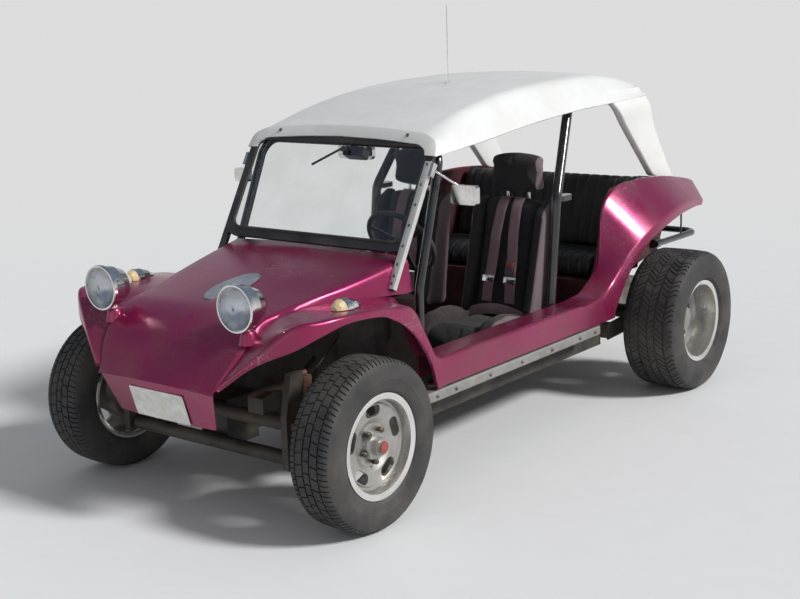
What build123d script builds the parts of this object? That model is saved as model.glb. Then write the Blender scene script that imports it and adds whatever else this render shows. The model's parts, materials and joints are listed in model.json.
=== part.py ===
# Fibreglass beach buggy on a full-length floor pan: open sides, hardtop, flat windscreen, four seats,
# torsion-bar front axle, swing rear axle and an open flat-four engine. Millimetres, +Z up, nose to -Y.
# The origin is on the ground under the middle of the car. Places along the car are "stations":
# distances behind the front axle.
import os
from math import asin, cos, degrees, hypot, radians, sin, sqrt, tan

from build123d import *

os.makedirs("parts", exist_ok=True)

# Wheels and stance
wheelbase = 2400.0
front_half_track = 698.0
rear_half_track = 808.0
front_tyre_radius = 335.0
front_tyre_width = 198.0
rear_tyre_radius = 354.0
rear_tyre_width = 297.0
rim_flange_radius = 206.0
nose_reach = 414.5
tail_reach = 640.0
overall_length = nose_reach + wheelbase + tail_reach
front_axle_y = nose_reach - overall_length / 2

# Clearances
seat_gap = 0.3
running_gap = 0.05
link_gap = 1.5

# Sheet and tube sizes
skin = 6.0
roof_skin = 7.0
pan_sheet = 4.0
hoop_radius = 24.0
front_hoop_radius = 19.0

# Body heights and widths
sill_low = 432.0
sill_high = 556.0
sill_outer_x = 702.0
sill_front = 508.0
cabin_half = 570.0
arch_radius = 480.0
cowl_station = 556.0
pan_low = 265.0
pan_front = 430.0
pan_rear = wheelbase - 380.0
wall_x = cabin_half + seat_gap

# Steering
kingpin_x = 575.0
steering_arm = 130.0
pitman_x = 300.0
driver_x = 300.0


def side_at(x):
    """Plane seen from the left: stations to the right of the sketch, heights up."""
    return Plane(origin=(x, front_axle_y, 0), x_dir=(0, 1, 0), z_dir=(1, 0, 0))


def plan_at(z):
    """Plane seen from above: x across, stations along."""
    return Plane(origin=(0, front_axle_y, z), x_dir=(1, 0, 0), z_dir=(0, 0, 1))


def cross_at(station):
    """Plane seen from the front: x across, heights up. Its normal points to the nose."""
    return Plane(origin=(0, front_axle_y + station, 0), x_dir=(1, 0, 0), z_dir=(0, -1, 0))


def place(x, station, z):
    """A point of the car in the part's own frame."""
    return (x, front_axle_y + station, z)


def strip(points, thickness):
    """Closed outline of a bent sheet: the given line, then the same line moved to its right, walked back."""
    normals = []
    for (ax, ay), (bx, by) in zip(points, points[1:]):
        length = hypot(bx - ax, by - ay)
        normals.append(((by - ay) / length, -(bx - ax) / length))
    moved = []
    for i, (px, py) in enumerate(points):
        first = normals[max(i - 1, 0)]
        second = normals[min(i, len(normals) - 1)]
        mx, my = first[0] + second[0], first[1] + second[1]
        scale = 2 * thickness / (mx * mx + my * my)
        moved.append((px + mx * scale, py + my * scale))
    return points + moved[::-1]


def shape(points):
    """Polygon where its corners are, in the sketch that is open."""
    return Polygon(*points, align=None)


def tube(points, radii, radius):
    """Bent round tube along straight runs joined by arcs."""
    with BuildPart() as bent:
        with BuildLine() as path:
            FilletPolyline(*[place(*p) for p in points], radius=radii)
        with BuildSketch(Plane(origin=path.line @ 0, z_dir=path.line % 0)):
            Circle(radius)
        sweep()
    return bent.part


def mirrored(piece):
    """The same piece on the other side of the car."""
    return mirror(piece, about=Plane.YZ)


# Floor pan: flat pan with a centre tunnel, frame head to the front axle, fork horns to the gearbox
tunnel_half = 70.0
tunnel_high = 150.0
head_half = 75.0
head_high = 80.0
pan_flange = 181.0
horn_x = 160.0
horn_size = 50.0
torsion_station = pan_rear + 46.0
torsion_z = 330.0
torsion_radius = 42.0
torsion_half = 600.0
firewall_station = 172.0
head_rear = 70.0
beam_station = -135.0
beam_tube_radius = 28.0
beam_low_z = 262.0
beam_high_z = 400.0
head_front = beam_station + beam_tube_radius + seat_gap
with BuildPart() as floor_pan:
    with BuildSketch(cross_at(pan_rear)):
        shape(
            strip(
                [
                    (-cabin_half, pan_low + pan_flange),
                    (-cabin_half, pan_low),
                    (-tunnel_half, pan_low),
                    (-tunnel_half + 15, pan_low + tunnel_high),
                    (tunnel_half - 15, pan_low + tunnel_high),
                    (tunnel_half, pan_low),
                    (cabin_half, pan_low),
                    (cabin_half, pan_low + pan_flange),
                ],
                -pan_sheet,
            )
        )
    extrude(amount=pan_rear - pan_front)
    with BuildSketch(plan_at(pan_low)):
        shape(
            [
                (-412, pan_front + 20),
                (-335, firewall_station + 130),
                (-335, firewall_station - 8),
                (335, firewall_station - 8),
                (335, firewall_station + 130),
                (412, pan_front + 20),
            ]
        )
    extrude(amount=pan_sheet)
    for side in (-1, 1):
        with BuildSketch(side_at(side * horn_x - horn_size / 2)):
            shape(
                [
                    (pan_rear - 60, pan_low),
                    (pan_rear + 60, pan_low - 14),
                    (wheelbase + 140, pan_low - 15),
                    (wheelbase + 140, pan_low + 20),
                    (pan_rear + 110, pan_low + 30),
                    (pan_rear + 40, pan_low + tunnel_high),
                    (pan_rear - 60, pan_low + tunnel_high),
                ]
            )
        extrude(amount=horn_size)
    with BuildSketch(cross_at(pan_rear)):
        with Locations((0, pan_low + tunnel_high / 2)):
            Rectangle(2 * horn_x + horn_size, tunnel_high)
    extrude(amount=pan_sheet * 2)
    with BuildSketch(side_at(-torsion_half)):
        with Locations((torsion_station, torsion_z)):
            Circle(torsion_radius)
    extrude(amount=2 * torsion_half)

# Frame head: the upright block that carries the front axle, and the box that ties it to the tunnel
with BuildPart() as frame_head:
    with BuildSketch(plan_at(beam_low_z - beam_tube_radius)):
        with Locations((0, (head_front + head_rear) / 2)):
            Rectangle(2 * head_half, head_rear - head_front)
    extrude(amount=beam_high_z - beam_low_z + 2 * beam_tube_radius)
    with BuildSketch(plan_at(pan_low + pan_sheet + seat_gap)):
        with Locations((0, (head_rear + pan_front) / 2)):
            Rectangle(2 * head_half, pan_front - head_rear - 2 * seat_gap)
    extrude(amount=head_high - pan_sheet - seat_gap)

# Hood: crowned top that rolls over into a blunt nose, with leaning side faces
hood_lean = 12.0
hood_base = 560.0
nose_edge_z = 566.0
nose_bow = 457.0
hood_half_plan = [(576, cowl_station), (521, 234), (432, -115), (426, -250), (382, -344), (322, -400)]
hood_back_z = 964.0
hood_shoulder = (-130.0, 828.0)
hood_brow = (-345.0, 680.0)
hood_crown = 22.0
lamp_x = 376.0
lamp_stud = -262.0
lamp_stud_z = 764.5
pod_top = 787.0
# The valley between hood and fender. Columns: station, x, height
valley = [
    (508, 518, 800),
    (300, 479, 814),
    (120, 437, 822),
    (-60, 398, 820),
    (-180, 383, 790),
    (-262, 386, 740),
    (-340, 364.5, 662),
    (-400, 322, 577),
]


def hood_plan(inset):
    """Leaning sides of the hood as a closed block, moved in by inset."""
    with BuildPart() as block:
        for z in (hood_base - 80, hood_base + 520):
            lean = (z - hood_base) * tan(radians(hood_lean))
            half = [(x - lean - inset, y + (inset if y < -300 else 0)) for x, y in hood_half_plan]
            with BuildSketch(plan_at(z)):
                with BuildLine():
                    Polyline(*half)
                    ThreePointArc(half[-1], (0, inset - nose_bow), (-half[-1][0], half[-1][1]))
                    Polyline(*[(-x, y) for x, y in half][::-1])
                    Line((-half[0][0], half[0][1]), half[0])
                make_face()
        loft(ruled=True)
    return block.part


def hood_form(inset):
    """Closed form of the hood, moved in by inset on its top and sides."""
    plan = hood_plan(inset)
    with BuildPart() as form:
        for x, drop in ((-620, hood_crown), (0, 0), (620, hood_crown)):
            back = (cowl_station + 60, hood_back_z - drop - inset)
            shoulder = (hood_shoulder[0], hood_shoulder[1] - drop - inset)
            brow = (hood_brow[0] + inset, hood_brow[1] - drop)
            with BuildSketch(side_at(x)):
                with BuildLine():
                    Line(back, shoulder)
                    roll = TangentArc(shoulder, brow, tangent=(shoulder[0] - back[0], shoulder[1] - back[1]))
                    fall = roll % 1
                    run = (brow[1] - hood_base + 80) / -fall.Y
                    toe = (brow[0] + fall.X * run, hood_base - 80)
                    Line(brow, toe)
                    Line(toe, (back[0], toe[1]))
                    Line((back[0], toe[1]), back)
                make_face()
        loft()
        add(plan, mode=Mode.INTERSECT)
    return form.part


hood_outer = hood_form(0)
hood_inner = hood_form(skin)
with BuildPart() as hood:
    add(hood_outer)
    add(hood_inner, mode=Mode.SUBTRACT)
    with BuildSketch(side_at(-700)):
        shape(
            [(cowl_station + 100, 795 + seat_gap)]
            + [(station, z + seat_gap) for station, x, z in valley]
            + [(valley[-1][0] - 1, nose_edge_z), (-nose_reach - 50, nose_edge_z)]
            + [(-nose_reach - 50, 300), (cowl_station + 100, 300)]
        )
    extrude(amount=1400, mode=Mode.SUBTRACT)
    for side in (-1, 1):
        with BuildSketch(plan_at(lamp_stud_z)):
            with Locations((side * lamp_x, lamp_stud)):
                Circle(24)
        extrude(amount=pod_top - lamp_stud_z)

# Front fenders. The outer edge beside each valley row. Columns: outer x, outer height
fender_edge = [
    (690, 806),
    (700, 812),
    (702, 834),
    (698, 843),
    (665, 842),
    (606, 828),
    (470, 705),
    (345, 600),
]
band_roll = 12.0


def arch_height(station):
    """Height of the front wheel arch's edge at a station."""
    return front_tyre_radius + sqrt(arch_radius**2 - station**2)


leg_top = [(230, 818), (300, 806), (345, 780), (385, 722), (468, 578), (sill_front - seat_gap, sill_high)]


def leg_form(inset):
    """Leg that runs down behind the front wheel to the sill, moved in by inset."""
    inner = 610 - 40 * (inset > 0)
    with BuildPart() as form:
        with BuildSketch(side_at(inner)):
            shape(
                [(230, 700)]
                + [(station - inset * 0.7, z - inset * 0.7) for station, z in leg_top[:-1]]
                + [(leg_top[-1][0], sill_high - inset)]
                + [(leg_top[-1][0], sill_low + inset), (440, sill_low + inset)]
            )
        extrude(amount=sill_outer_x - inset - inner)
        with BuildSketch(side_at(inner - 10)):
            with Locations((0, front_tyre_radius)):
                Circle(arch_radius + inset)
        extrude(amount=200, mode=Mode.SUBTRACT)
    return form.part


leg_outer = leg_form(0)
leg_inner = leg_form(skin)
with BuildPart() as front_fenders:
    for (station, valley_x, valley_z), (outer_x, outer_z) in zip(valley, fender_edge):
        lip_z = min(arch_height(min(station, 300)), outer_z - 2 * band_roll)
        with BuildSketch(cross_at(station)):
            shape(
                strip(
                    [
                        (valley_x - 50, valley_z - 4),
                        (valley_x, valley_z),
                        (outer_x - 2 * band_roll, outer_z + 2),
                        (outer_x, outer_z - band_roll),
                        (outer_x + 2, lip_z),
                    ],
                    skin,
                )
            )
    loft(ruled=True)
    with BuildSketch(plan_at(sill_low)):
        shape([(521, 520), (521, 478), (690, 335), (720, 250), (760, 250), (760, 520)])
    extrude(amount=500, mode=Mode.SUBTRACT)
    add(leg_outer)
    add(leg_inner, mode=Mode.SUBTRACT)
    mirror(about=Plane.YZ)

# Nose panel: the receding face under the nose edge that carries the number plate
nose_low_z = 404.0
# Columns: height, half width, station of the corners, bulge of the middle
nose_rows = [(nose_edge_z - seat_gap, 318, -407, 7), (nose_low_z, 268, -352, 14)]
with BuildPart() as nose_panel:
    for z, half, station, bulge in nose_rows:
        with BuildSketch(plan_at(z)):
            with BuildLine():
                ThreePointArc((half, station), (0, station - bulge), (-half, station))
                Line((-half, station), (-half + 3, station + skin))
                ThreePointArc((-half + 3, station + skin), (0, station - bulge + skin), (half - 3, station + skin))
                Line((half - 3, station + skin), (half, station))
            make_face()
    loft(ruled=True)

# Side bodies: sill, then a quarter that sweeps up and wraps over the rear wheel.
# Radial sections about the rear axle. Columns: angle up from the front, wall radius, shoulder x and radius,
# lip x and radius
quarter_rows = [
    (14, 822, 702, 800, 702, 470),
    (18, 672, 698, 650, 704, 462),
    (24, 600, 694, 575, 708, 455),
    (34, 556, 702, 530, 714, 450),
    (46, 606, 722, 510, 726, 452),
    (58, 722, 740, 505, 742, 462),
    (70, 742, 752, 512, 754, 470),
    (84, 716, 754, 524, 756, 476),
    (104, 726, 742, 570, 744, 520),
    (124, 806, 712, 664, 714, 620),
    (134, 880, 690, 742, 692, 706),
]
first_turn = radians(quarter_rows[0][0])
with BuildPart() as sides:
    with BuildSketch(cross_at(sill_front + seat_gap)):
        shape(
            strip(
                [
                    (wall_x, pan_low + pan_flange - 30),
                    (wall_x, sill_high),
                    (sill_outer_x - 14, sill_high - 2),
                    (sill_outer_x, sill_high - 16),
                    (sill_outer_x, sill_low + 12),
                    (sill_outer_x - 12, sill_low),
                    (sill_outer_x - 60, sill_low),
                ],
                skin,
            )
        )
    extrude(amount=-(wheelbase - 420 - sill_front))
    with BuildSketch(side_at(cabin_half - 10)):
        shape(
            [
                (wheelbase - 300 * cos(first_turn), rear_tyre_radius + 300 * sin(first_turn)),
                (wheelbase - 900 * cos(first_turn), rear_tyre_radius + 900 * sin(first_turn)),
                (wheelbase - 300 * cos(first_turn), rear_tyre_radius + 900 * sin(first_turn)),
            ]
        )
        with Locations((wheelbase, rear_tyre_radius)):
            Circle(quarter_rows[0][5])
    extrude(amount=200, mode=Mode.SUBTRACT)
    for angle, wall_r, shoulder_x, shoulder_r, lip_x, lip_r in quarter_rows:
        turn = radians(angle)
        radial = Plane(
            origin=place(0, wheelbase, rear_tyre_radius),
            x_dir=(1, 0, 0),
            z_dir=(0, -sin(turn), -cos(turn)),
        )
        with BuildSketch(radial):
            shape(
                strip(
                    [
                        (wall_x, wall_r - 60),
                        (wall_x, wall_r),
                        (shoulder_x - 14, shoulder_r + 8),
                        (shoulder_x, shoulder_r - 8),
                        (lip_x, lip_r),
                    ],
                    skin,
                )
            )
    loft(ruled=True)
    mirror(about=Plane.YZ)

# Cowl: firewall, footwell walls and the dash, standing on the pan
footwell_half = 320.0
cowl_wall_top = 782.0
cowl_sheet = 5.0
dash_station = cowl_station - 22
dash_half = 466.0
dash_low = 690.0
dash_high = 915.0
floor_top = pan_low + pan_sheet + seat_gap
wall_foot = pan_low + pan_flange + seat_gap
head_top = pan_low + head_high
footwell_line = [
    (-cabin_half + pan_sheet + seat_gap, sill_front),
    (-400, pan_front + 16),
    (-footwell_half, firewall_station + 130),
    (-footwell_half, firewall_station),
    (footwell_half, firewall_station),
    (footwell_half, firewall_station + 130),
    (400, pan_front + 16),
    (cabin_half - pan_sheet - seat_gap, sill_front),
]
column_foot = (60.0, 478.0)
column_head = (772.0, 957.0)
column_tube = 20.0
column_run = Vector(0, column_head[0] - column_foot[0], column_head[1] - column_foot[1]).normalized()
column_plane = Plane(
    origin=place(driver_x, *column_foot),
    x_dir=(1, 0, 0),
    z_dir=column_run,
)
with BuildPart() as cowl:
    with BuildSketch(plan_at(floor_top)):
        shape(strip(footwell_line, -cowl_sheet))
    extrude(amount=cowl_wall_top - floor_top)
    with BuildSketch(plan_at(floor_top - 1)):
        with Locations((0, firewall_station)):
            Rectangle(2 * (head_half + seat_gap), 60)
    extrude(amount=head_top - floor_top + seat_gap + 1, mode=Mode.SUBTRACT)
    for side in (-1, 1):
        with BuildSketch(side_at(side * (dash_half - cowl_sheet / 2) - cowl_sheet / 2)):
            shape(
                [
                    (sill_front - 60, 600),
                    (dash_station, dash_low - 20),
                    (dash_station, cowl_wall_top),
                    (sill_front - 60, cowl_wall_top),
                ]
            )
        extrude(amount=cowl_sheet)
    with BuildSketch(cross_at(dash_station)):
        with BuildLine():
            Polyline((-dash_half, dash_high), (-dash_half, dash_low), (dash_half, dash_low), (dash_half, dash_high))
            ThreePointArc((dash_half, dash_high), (0, dash_high + hood_crown / 2), (-dash_half, dash_high))
        make_face()
    extrude(amount=-cowl_sheet)
    with BuildSketch(column_plane):
        Circle(column_tube + 4)
    extrude(amount=700, mode=Mode.SUBTRACT)

# Rear tub: seat riser, shelf, bulkhead and the side walls that the quarters and fenders stand against
riser_station = wheelbase - 466.0
shelf_z = 600.0
bulkhead_foot = wheelbase
bulkhead_head = bulkhead_foot + 152.0
# Columns: distance behind the rear axle, height
tub_top_rows = [(-296, 1036), (-150, 1050), (176, 1046), (451, 1008), (560, 984)]
tub_top = [(wheelbase + run, z) for run, z in tub_top_rows]
tub_tail = tub_top[-1][0]
flange_width = 92.0
plate_hole_x = 105.0
plate_hole = 3.5
tunnel_top = pan_low + tunnel_high + pan_sheet
with BuildPart() as rear_tub:
    for side in (-1, 1):
        with BuildSketch(side_at(cabin_half - skin if side > 0 else -cabin_half)):
            shape(
                [
                    (riser_station, wall_foot),
                    (riser_station, 640),
                    (riser_station + 38, 700),
                    (riser_station + 70, 820),
                    (riser_station + 96, 960),
                ]
                + tub_top
                + [(tub_tail, 905), (tub_tail - 220, 868), (tub_tail - 340, 650)]
                + [(pan_rear + 60, shelf_z - 40), (pan_rear, wall_foot)]
            )
        extrude(amount=skin)
        for (y0, z0), (y1, z1) in zip(tub_top[2:], tub_top[3:]):
            with BuildSketch(side_at(cabin_half - flange_width if side > 0 else -cabin_half)):
                shape([(y0, z0), (y1, z1), (y1, z1 - skin), (y0, z0 - skin)])
            extrude(amount=flange_width)
    with BuildSketch(side_at(-cabin_half)):
        shape(
            strip(
                [
                    (riser_station, floor_top),
                    (riser_station, shelf_z),
                    (bulkhead_foot, shelf_z),
                    (bulkhead_head, 1040),
                ],
                skin,
            )
        )
    extrude(amount=2 * cabin_half)
    with BuildSketch(cross_at(riser_station - 1)):
        for side in (-1, 1):
            with Locations((side * cabin_half, (floor_top - 1 + wall_foot) / 2)):
                Rectangle(2 * (pan_sheet + seat_gap), wall_foot - floor_top + 1)
        Rectangle(2 * (tunnel_half + pan_sheet + seat_gap), 2 * (tunnel_top + seat_gap))
    extrude(amount=-2 * skin, mode=Mode.SUBTRACT)
    with BuildSketch(cross_at(tub_tail)):
        shape([(-cabin_half, 984), (-cabin_half, 880), (cabin_half, 880), (cabin_half, 984)])
        with Locations((-plate_hole_x, 932), (plate_hole_x, 932)):
            Circle(plate_hole, mode=Mode.SUBTRACT)
    extrude(amount=skin)

# Windscreen: flat frame with square posts, and its glass
screen_slope = 0.567
screen_foot = (441.0, 808.0)
screen_bar = 22.0
screen_half = 520.0
post_width = 30.0
screen_bottom = 170.0
screen_top = 684.0
bar_high = 34.0
glass_thick = 6.0
corner_round = 70.0
screen_out = Vector(0, -1, screen_slope).normalized()


def screen_at(depth):
    """Leaning plane of the windscreen, depth in front of its rear face: x across, height up along it."""
    foot = Vector(*place(0, *screen_foot)) + screen_out * depth
    return Plane(origin=foot, x_dir=(1, 0, 0), z_dir=screen_out)


glass_half = screen_half - post_width - seat_gap
glass_high = screen_top - screen_bottom - 2 * bar_high - 2 * seat_gap
wiper_spot = (40.0, 606.0)
wiper_shaft = 7.0
hood_clear = hood_form(-seat_gap)
with BuildPart() as windscreen_frame:
    with BuildSketch(screen_at(0)):
        with Locations((0, (screen_bottom + screen_top) / 2)):
            RectangleRounded(2 * screen_half, screen_top - screen_bottom, corner_round)
        for side in (-1, 1):
            with Locations((side * (screen_half - post_width / 2), 160)):
                Rectangle(post_width, 300)
        with Locations((0, (screen_bottom + screen_top) / 2)):
            RectangleRounded(
                2 * glass_half + 2 * seat_gap,
                glass_high + 2 * seat_gap,
                corner_round - post_width,
                mode=Mode.SUBTRACT,
            )
    extrude(amount=screen_bar)
    add(hood_clear, mode=Mode.SUBTRACT)
with BuildPart() as windscreen_glass:
    with BuildSketch(screen_at(screen_bar / 2 - glass_thick / 2)):
        with Locations((0, (screen_bottom + screen_top) / 2)):
            RectangleRounded(2 * glass_half, glass_high, corner_round - post_width)
        with Locations(wiper_spot):
            Circle(wiper_shaft + link_gap, mode=Mode.SUBTRACT)
    extrude(amount=glass_thick)

# Hardtop: a band round the windscreen's top corners, a crowned sheet with leaning sides, two rear pillars.
# Columns: station, lower x and height, shoulder x and height, crease x and height, crown height
header_band = 54.0
header_line = [(534, 598), (521, 664), (452, 698), (226, 716), (0, 722)]
roof_rows = [
    (1010, 546, 1368, 492, 1444, 450, 1494, 1514),
    (1370, 548, 1408, 494, 1488, 448, 1556, 1578),
    (1840, 546, 1444, 494, 1522, 446, 1588, 1608),
    (wheelbase - 140, 541, 1458, 492, 1524, 444, 1584, 1602),
    (wheelbase + 40, 539, 1466, 490, 1514, 444, 1556, 1572),
    (wheelbase + 140, 537, 1472, 490, 1502, 444, 1532, 1544),
]
pillar_thick = 44.0
# Columns: height, outer x, front and rear edge behind the rear axle
pillar_rows = [
    (980, 549, 278, 472),
    (1324, 545, -76, 222),
    (1446, 543, -202, 163),
    (1506, 505, -254, 135),
]
with BuildPart() as hardtop:
    header_across = [(-x, v) for x, v in header_line] + header_line[-2::-1]
    with BuildSketch(screen_at(screen_bar + seat_gap + roof_skin / 2)):
        shape(strip(header_across, roof_skin))
    for station, low_x, low_z, mid_x, mid_z, crease_x, crease_z, crown_z in roof_rows:
        half = [
            (low_x, low_z),
            (mid_x, mid_z),
            (crease_x, crease_z),
            (crease_x / 2, crown_z - (crown_z - crease_z) / 4),
            (0, crown_z),
        ]
        with BuildSketch(cross_at(station)):
            shape(strip([(-x, z) for x, z in half] + half[-2::-1], roof_skin))
    loft(ruled=True)
    with BuildSketch(screen_at(screen_bar + seat_gap)):
        shape(strip(header_across, header_band))
    extrude(amount=roof_skin)
    for side in (-1, 1):
        for z, outer, front, back in pillar_rows:
            with BuildSketch(plan_at(z)):
                with Locations((side * (outer - pillar_thick / 2), wheelbase + (front + back) / 2)):
                    Rectangle(pillar_thick, back - front)
        loft(ruled=True)
    with BuildSketch(side_at(-cabin_half)):
        shape(
            [(tub_top[2][0] - 76, tub_top[1][1] + seat_gap)]
            + [(station, z + seat_gap) for station, z in tub_top[1:]]
            + [(tub_tail, 900), (tub_top[1][0] - 50, 900), (tub_top[1][0] - 50, tub_top[1][1] + seat_gap)]
        )
    extrude(amount=2 * cabin_half, mode=Mode.SUBTRACT)

# Hoops: a slim one behind the windscreen and the main one behind the seats, with its pad
def hoop(corners, radii, radius):
    """Tube that runs up the right side through the corners, across, and down the left side."""
    ends = [(-x, y, z) for x, y, z in corners] + corners[::-1]
    return tube(ends, radii, radius)


main_hoop = [(541, 1560, floor_top + 3), (541, 1650, 1045), (440, 1950, 1538)]
slim_hoop = [(535, 578, floor_top + 3), (535, 580, 800), (500, 800, 1372)]
with BuildPart() as hoops:
    add(hoop(main_hoop, [140, 90, 90, 140], hoop_radius))
    add(hoop(slim_hoop, [90, 90, 90, 90], front_hoop_radius))
    with BuildSketch(plan_at(floor_top)):
        with Locations((-541, 1562), (541, 1562)):
            Rectangle(48, 110)
    extrude(amount=pan_sheet)
    for side in (-1, 1):
        with BuildSketch(plan_at(1030)):
            with Locations((side * 540, 1712)):
                RectangleRounded(50, 110, 24)
        extrude(amount=26)
    with BuildSketch(plan_at(floor_top)):
        with Locations((-535, 578), (535, 578)):
            Rectangle(50, 70)
    extrude(amount=pan_sheet)

# Seats: buckets with side bolsters and a headrest, on a box that stands on the pan
seat_half = 208.0
bolster = 48.0
seat_profile = [
    (1110, 330),
    (1092, 440),
    (1118, 486),
    (1500, 448),
    (1640, 1030),
    (1690, 1060),
    (1730, 1040),
    (1640, 480),
    (1570, 330),
]
bolster_profile = [
    (1112, 340),
    (1086, 450),
    (1124, 518),
    (1440, 494),
    (1478, 560),
    (1590, 1000),
    (1680, 1050),
    (1722, 1034),
    (1634, 470),
    (1560, 340),
]
with BuildPart() as seats:
    for middle in (-driver_x, driver_x):
        with BuildSketch(side_at(middle - seat_half + bolster)):
            shape(seat_profile)
        extrude(amount=2 * (seat_half - bolster))
        for edge in (middle - seat_half, middle + seat_half - bolster):
            with BuildSketch(side_at(edge)):
                shape(bolster_profile)
            extrude(amount=bolster)
        with BuildSketch(plan_at(floor_top)):
            with Locations((middle, 1330)):
                Rectangle(2 * (seat_half - bolster), 380)
        extrude(amount=340 - floor_top)
        with BuildSketch(cross_at(1742)):
            with Locations((middle, 1158)):
                RectangleRounded(264, 176, 60)
        extrude(amount=92)
        with BuildSketch(plan_at(1030)):
            with Locations((middle - 60, 1700), (middle + 60, 1700)):
                Circle(7)
        extrude(amount=80)

# Harness: two shoulder straps down each backrest and a lap strap with its buckle
strap_half = 30.0
strap_thick = 4.0
back_rise = Vector(0, 140, 582).normalized()
back_plane = Plane(
    origin=Vector(*place(0, 1500, 448)) + Vector(0, -back_rise.Z, back_rise.Y) * seat_gap,
    x_dir=(1, 0, 0),
    z_dir=(0, -back_rise.Z, back_rise.Y),
)
with BuildPart() as harness:
    for middle in (-driver_x, driver_x):
        with BuildSketch(back_plane):
            for side in (-1, 1):
                shape(
                    [
                        (middle + side * (40 - strap_half + 4), 120),
                        (middle + side * (40 + strap_half - 4), 120),
                        (middle + side * (78 + strap_half), 585),
                        (middle + side * (78 - strap_half), 585),
                    ]
                )
            with Locations((middle, 100)):
                Rectangle(2 * (seat_half - bolster) - 10, 50)
        extrude(amount=strap_thick)
        with BuildSketch(back_plane):
            with Locations((middle, 104)):
                RectangleRounded(64, 84, 8)
        extrude(amount=18)
        with BuildSketch(back_plane):
            with Locations((middle, 96)):
                Circle(14)
        extrude(amount=24)

# Rear bench: cushion on the shelf, back against the bulkhead
bench_half = 548.0
with BuildPart() as rear_bench:
    with BuildSketch(side_at(-bench_half)):
        shape(
            [
                (bulkhead_foot - 438, shelf_z + seat_gap),
                (bulkhead_foot - 450, 660),
                (bulkhead_foot - 428, 700),
                (bulkhead_foot - 340, 712),
                (bulkhead_foot - 70, 690),
                (bulkhead_foot + 48, 1040),
                (bulkhead_foot + 90, 1068),
                (bulkhead_foot + 150, 1050),
                (bulkhead_foot + 2, shelf_z + seat_gap + 10),
                (bulkhead_foot - 8, shelf_z + seat_gap),
            ]
        )
    extrude(amount=2 * bench_half)
    with BuildSketch(side_at(-bench_half - 1)):
        shape(
            [
                (bulkhead_foot - seat_gap, shelf_z - 10),
                (bulkhead_foot - seat_gap, shelf_z),
                (bulkhead_head - seat_gap, 1040),
                (bulkhead_head + 60 * 0.345, 1100),
                (bulkhead_head + 100, 1100),
                (bulkhead_head + 100, shelf_z - 10),
            ]
        )
    extrude(amount=2 * bench_half + 2, mode=Mode.SUBTRACT)

# Lamps: bullet headlamps on pods, teardrop turn signals on the fenders, tail lamps on the valance
lamp_z = 880.0
lamp_front = -330.0
bezel_r = 92.0
lens_r = 84.0
bowl_depth = 74.0


def turned(x, z, station, profile):
    """Solid turned about a level axis along the car. The profile lists distance behind station, and radius."""
    axis_plane = side_at(x)
    with BuildPart() as body:
        with BuildSketch(axis_plane):
            shape([(station + s, z + r) for s, r in profile])
        revolve(axis=Axis(place(x, station, z), (0, 1, 0)))
    return body.part


def turned_across(x, station, z, profile):
    """Solid turned about an axis across the car. The profile lists distance out from x, and radius."""
    with BuildPart() as body:
        with BuildSketch(cross_at(station)):
            shape([(x + s, z + r) for s, r in profile])
        revolve(axis=Axis(place(x, station, z), (1, 0, 0)))
    return body.part


bullet = [
    (0, lens_r + seat_gap),
    (0, bezel_r - 2),
    (4, bezel_r),
    (16, bezel_r),
    (20, bezel_r - 5),
    (60, 82),
    (100, 66),
    (130, 44),
    (148, 18),
    (152, 0),
    (bowl_depth, 0),
    (bowl_depth - 8, 30),
    (bowl_depth - 36, 62),
    (12, lens_r - 4),
    (12, lens_r + seat_gap),
]
lens_rim = 12 - seat_gap
lens_profile = [(0, 0), (-7, 0), (-5, 40), (2, lens_r), (lens_rim, lens_r), (lens_rim, lens_r - 3), (4, 0)]
fender_pad = Plane(
    origin=place(585, 50, 834.6),
    x_dir=(1, 0, 0.078),
    z_dir=Vector(-0.078, 0.02, 1),
)
signal_body = [(-30, 38), (-24, 42), (6, 41), (46, 29), (80, 13), (92, 0), (-30, 0)]
signal_glass = [(-66, 0), (-64, 15), (-52, 29), (-30.3, 40), (-30.3, 0)]


def teardrop(profile):
    """Half-round form lying on the fender: distance behind its middle, and radius."""
    with BuildPart() as form:
        with BuildSketch(Plane(origin=fender_pad.origin, x_dir=fender_pad.y_dir, z_dir=fender_pad.x_dir)):
            shape(profile)
        revolve(axis=Axis(fender_pad.origin, fender_pad.y_dir))
        with BuildSketch(fender_pad):
            Rectangle(200, 300)
        extrude(amount=-60, mode=Mode.SUBTRACT)
    return form.part


left_bullet = turned(lamp_x, lamp_z, lamp_front, bullet)
left_lens = turned(lamp_x, lamp_z, lamp_front, lens_profile)
left_signal = teardrop(signal_body)
left_signal_lens = teardrop(signal_glass)
with BuildPart() as lamp_housings:
    add(left_bullet)
    with BuildSketch(plan_at(pod_top + seat_gap)):
        with Locations((lamp_x, lamp_stud)):
            Circle(15)
    extrude(amount=24)
    add(left_signal)
    mirror(about=Plane.YZ)
with BuildPart() as headlamp_lenses:
    add(left_lens)
    mirror(about=Plane.YZ)
with BuildPart() as signal_lenses:
    add(left_signal_lens)
    mirror(about=Plane.YZ)
with BuildPart() as tail_lamps:
    with BuildSketch(cross_at(tub_tail + seat_gap)):
        with Locations((-450, 932), (450, 932)):
            Circle(42)
    extrude(amount=-24)
    with BuildSketch(cross_at(tub_tail + seat_gap + 24)):
        with Locations((-450, 932), (450, 932)):
            Circle(34)
    extrude(amount=-8)

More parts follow.
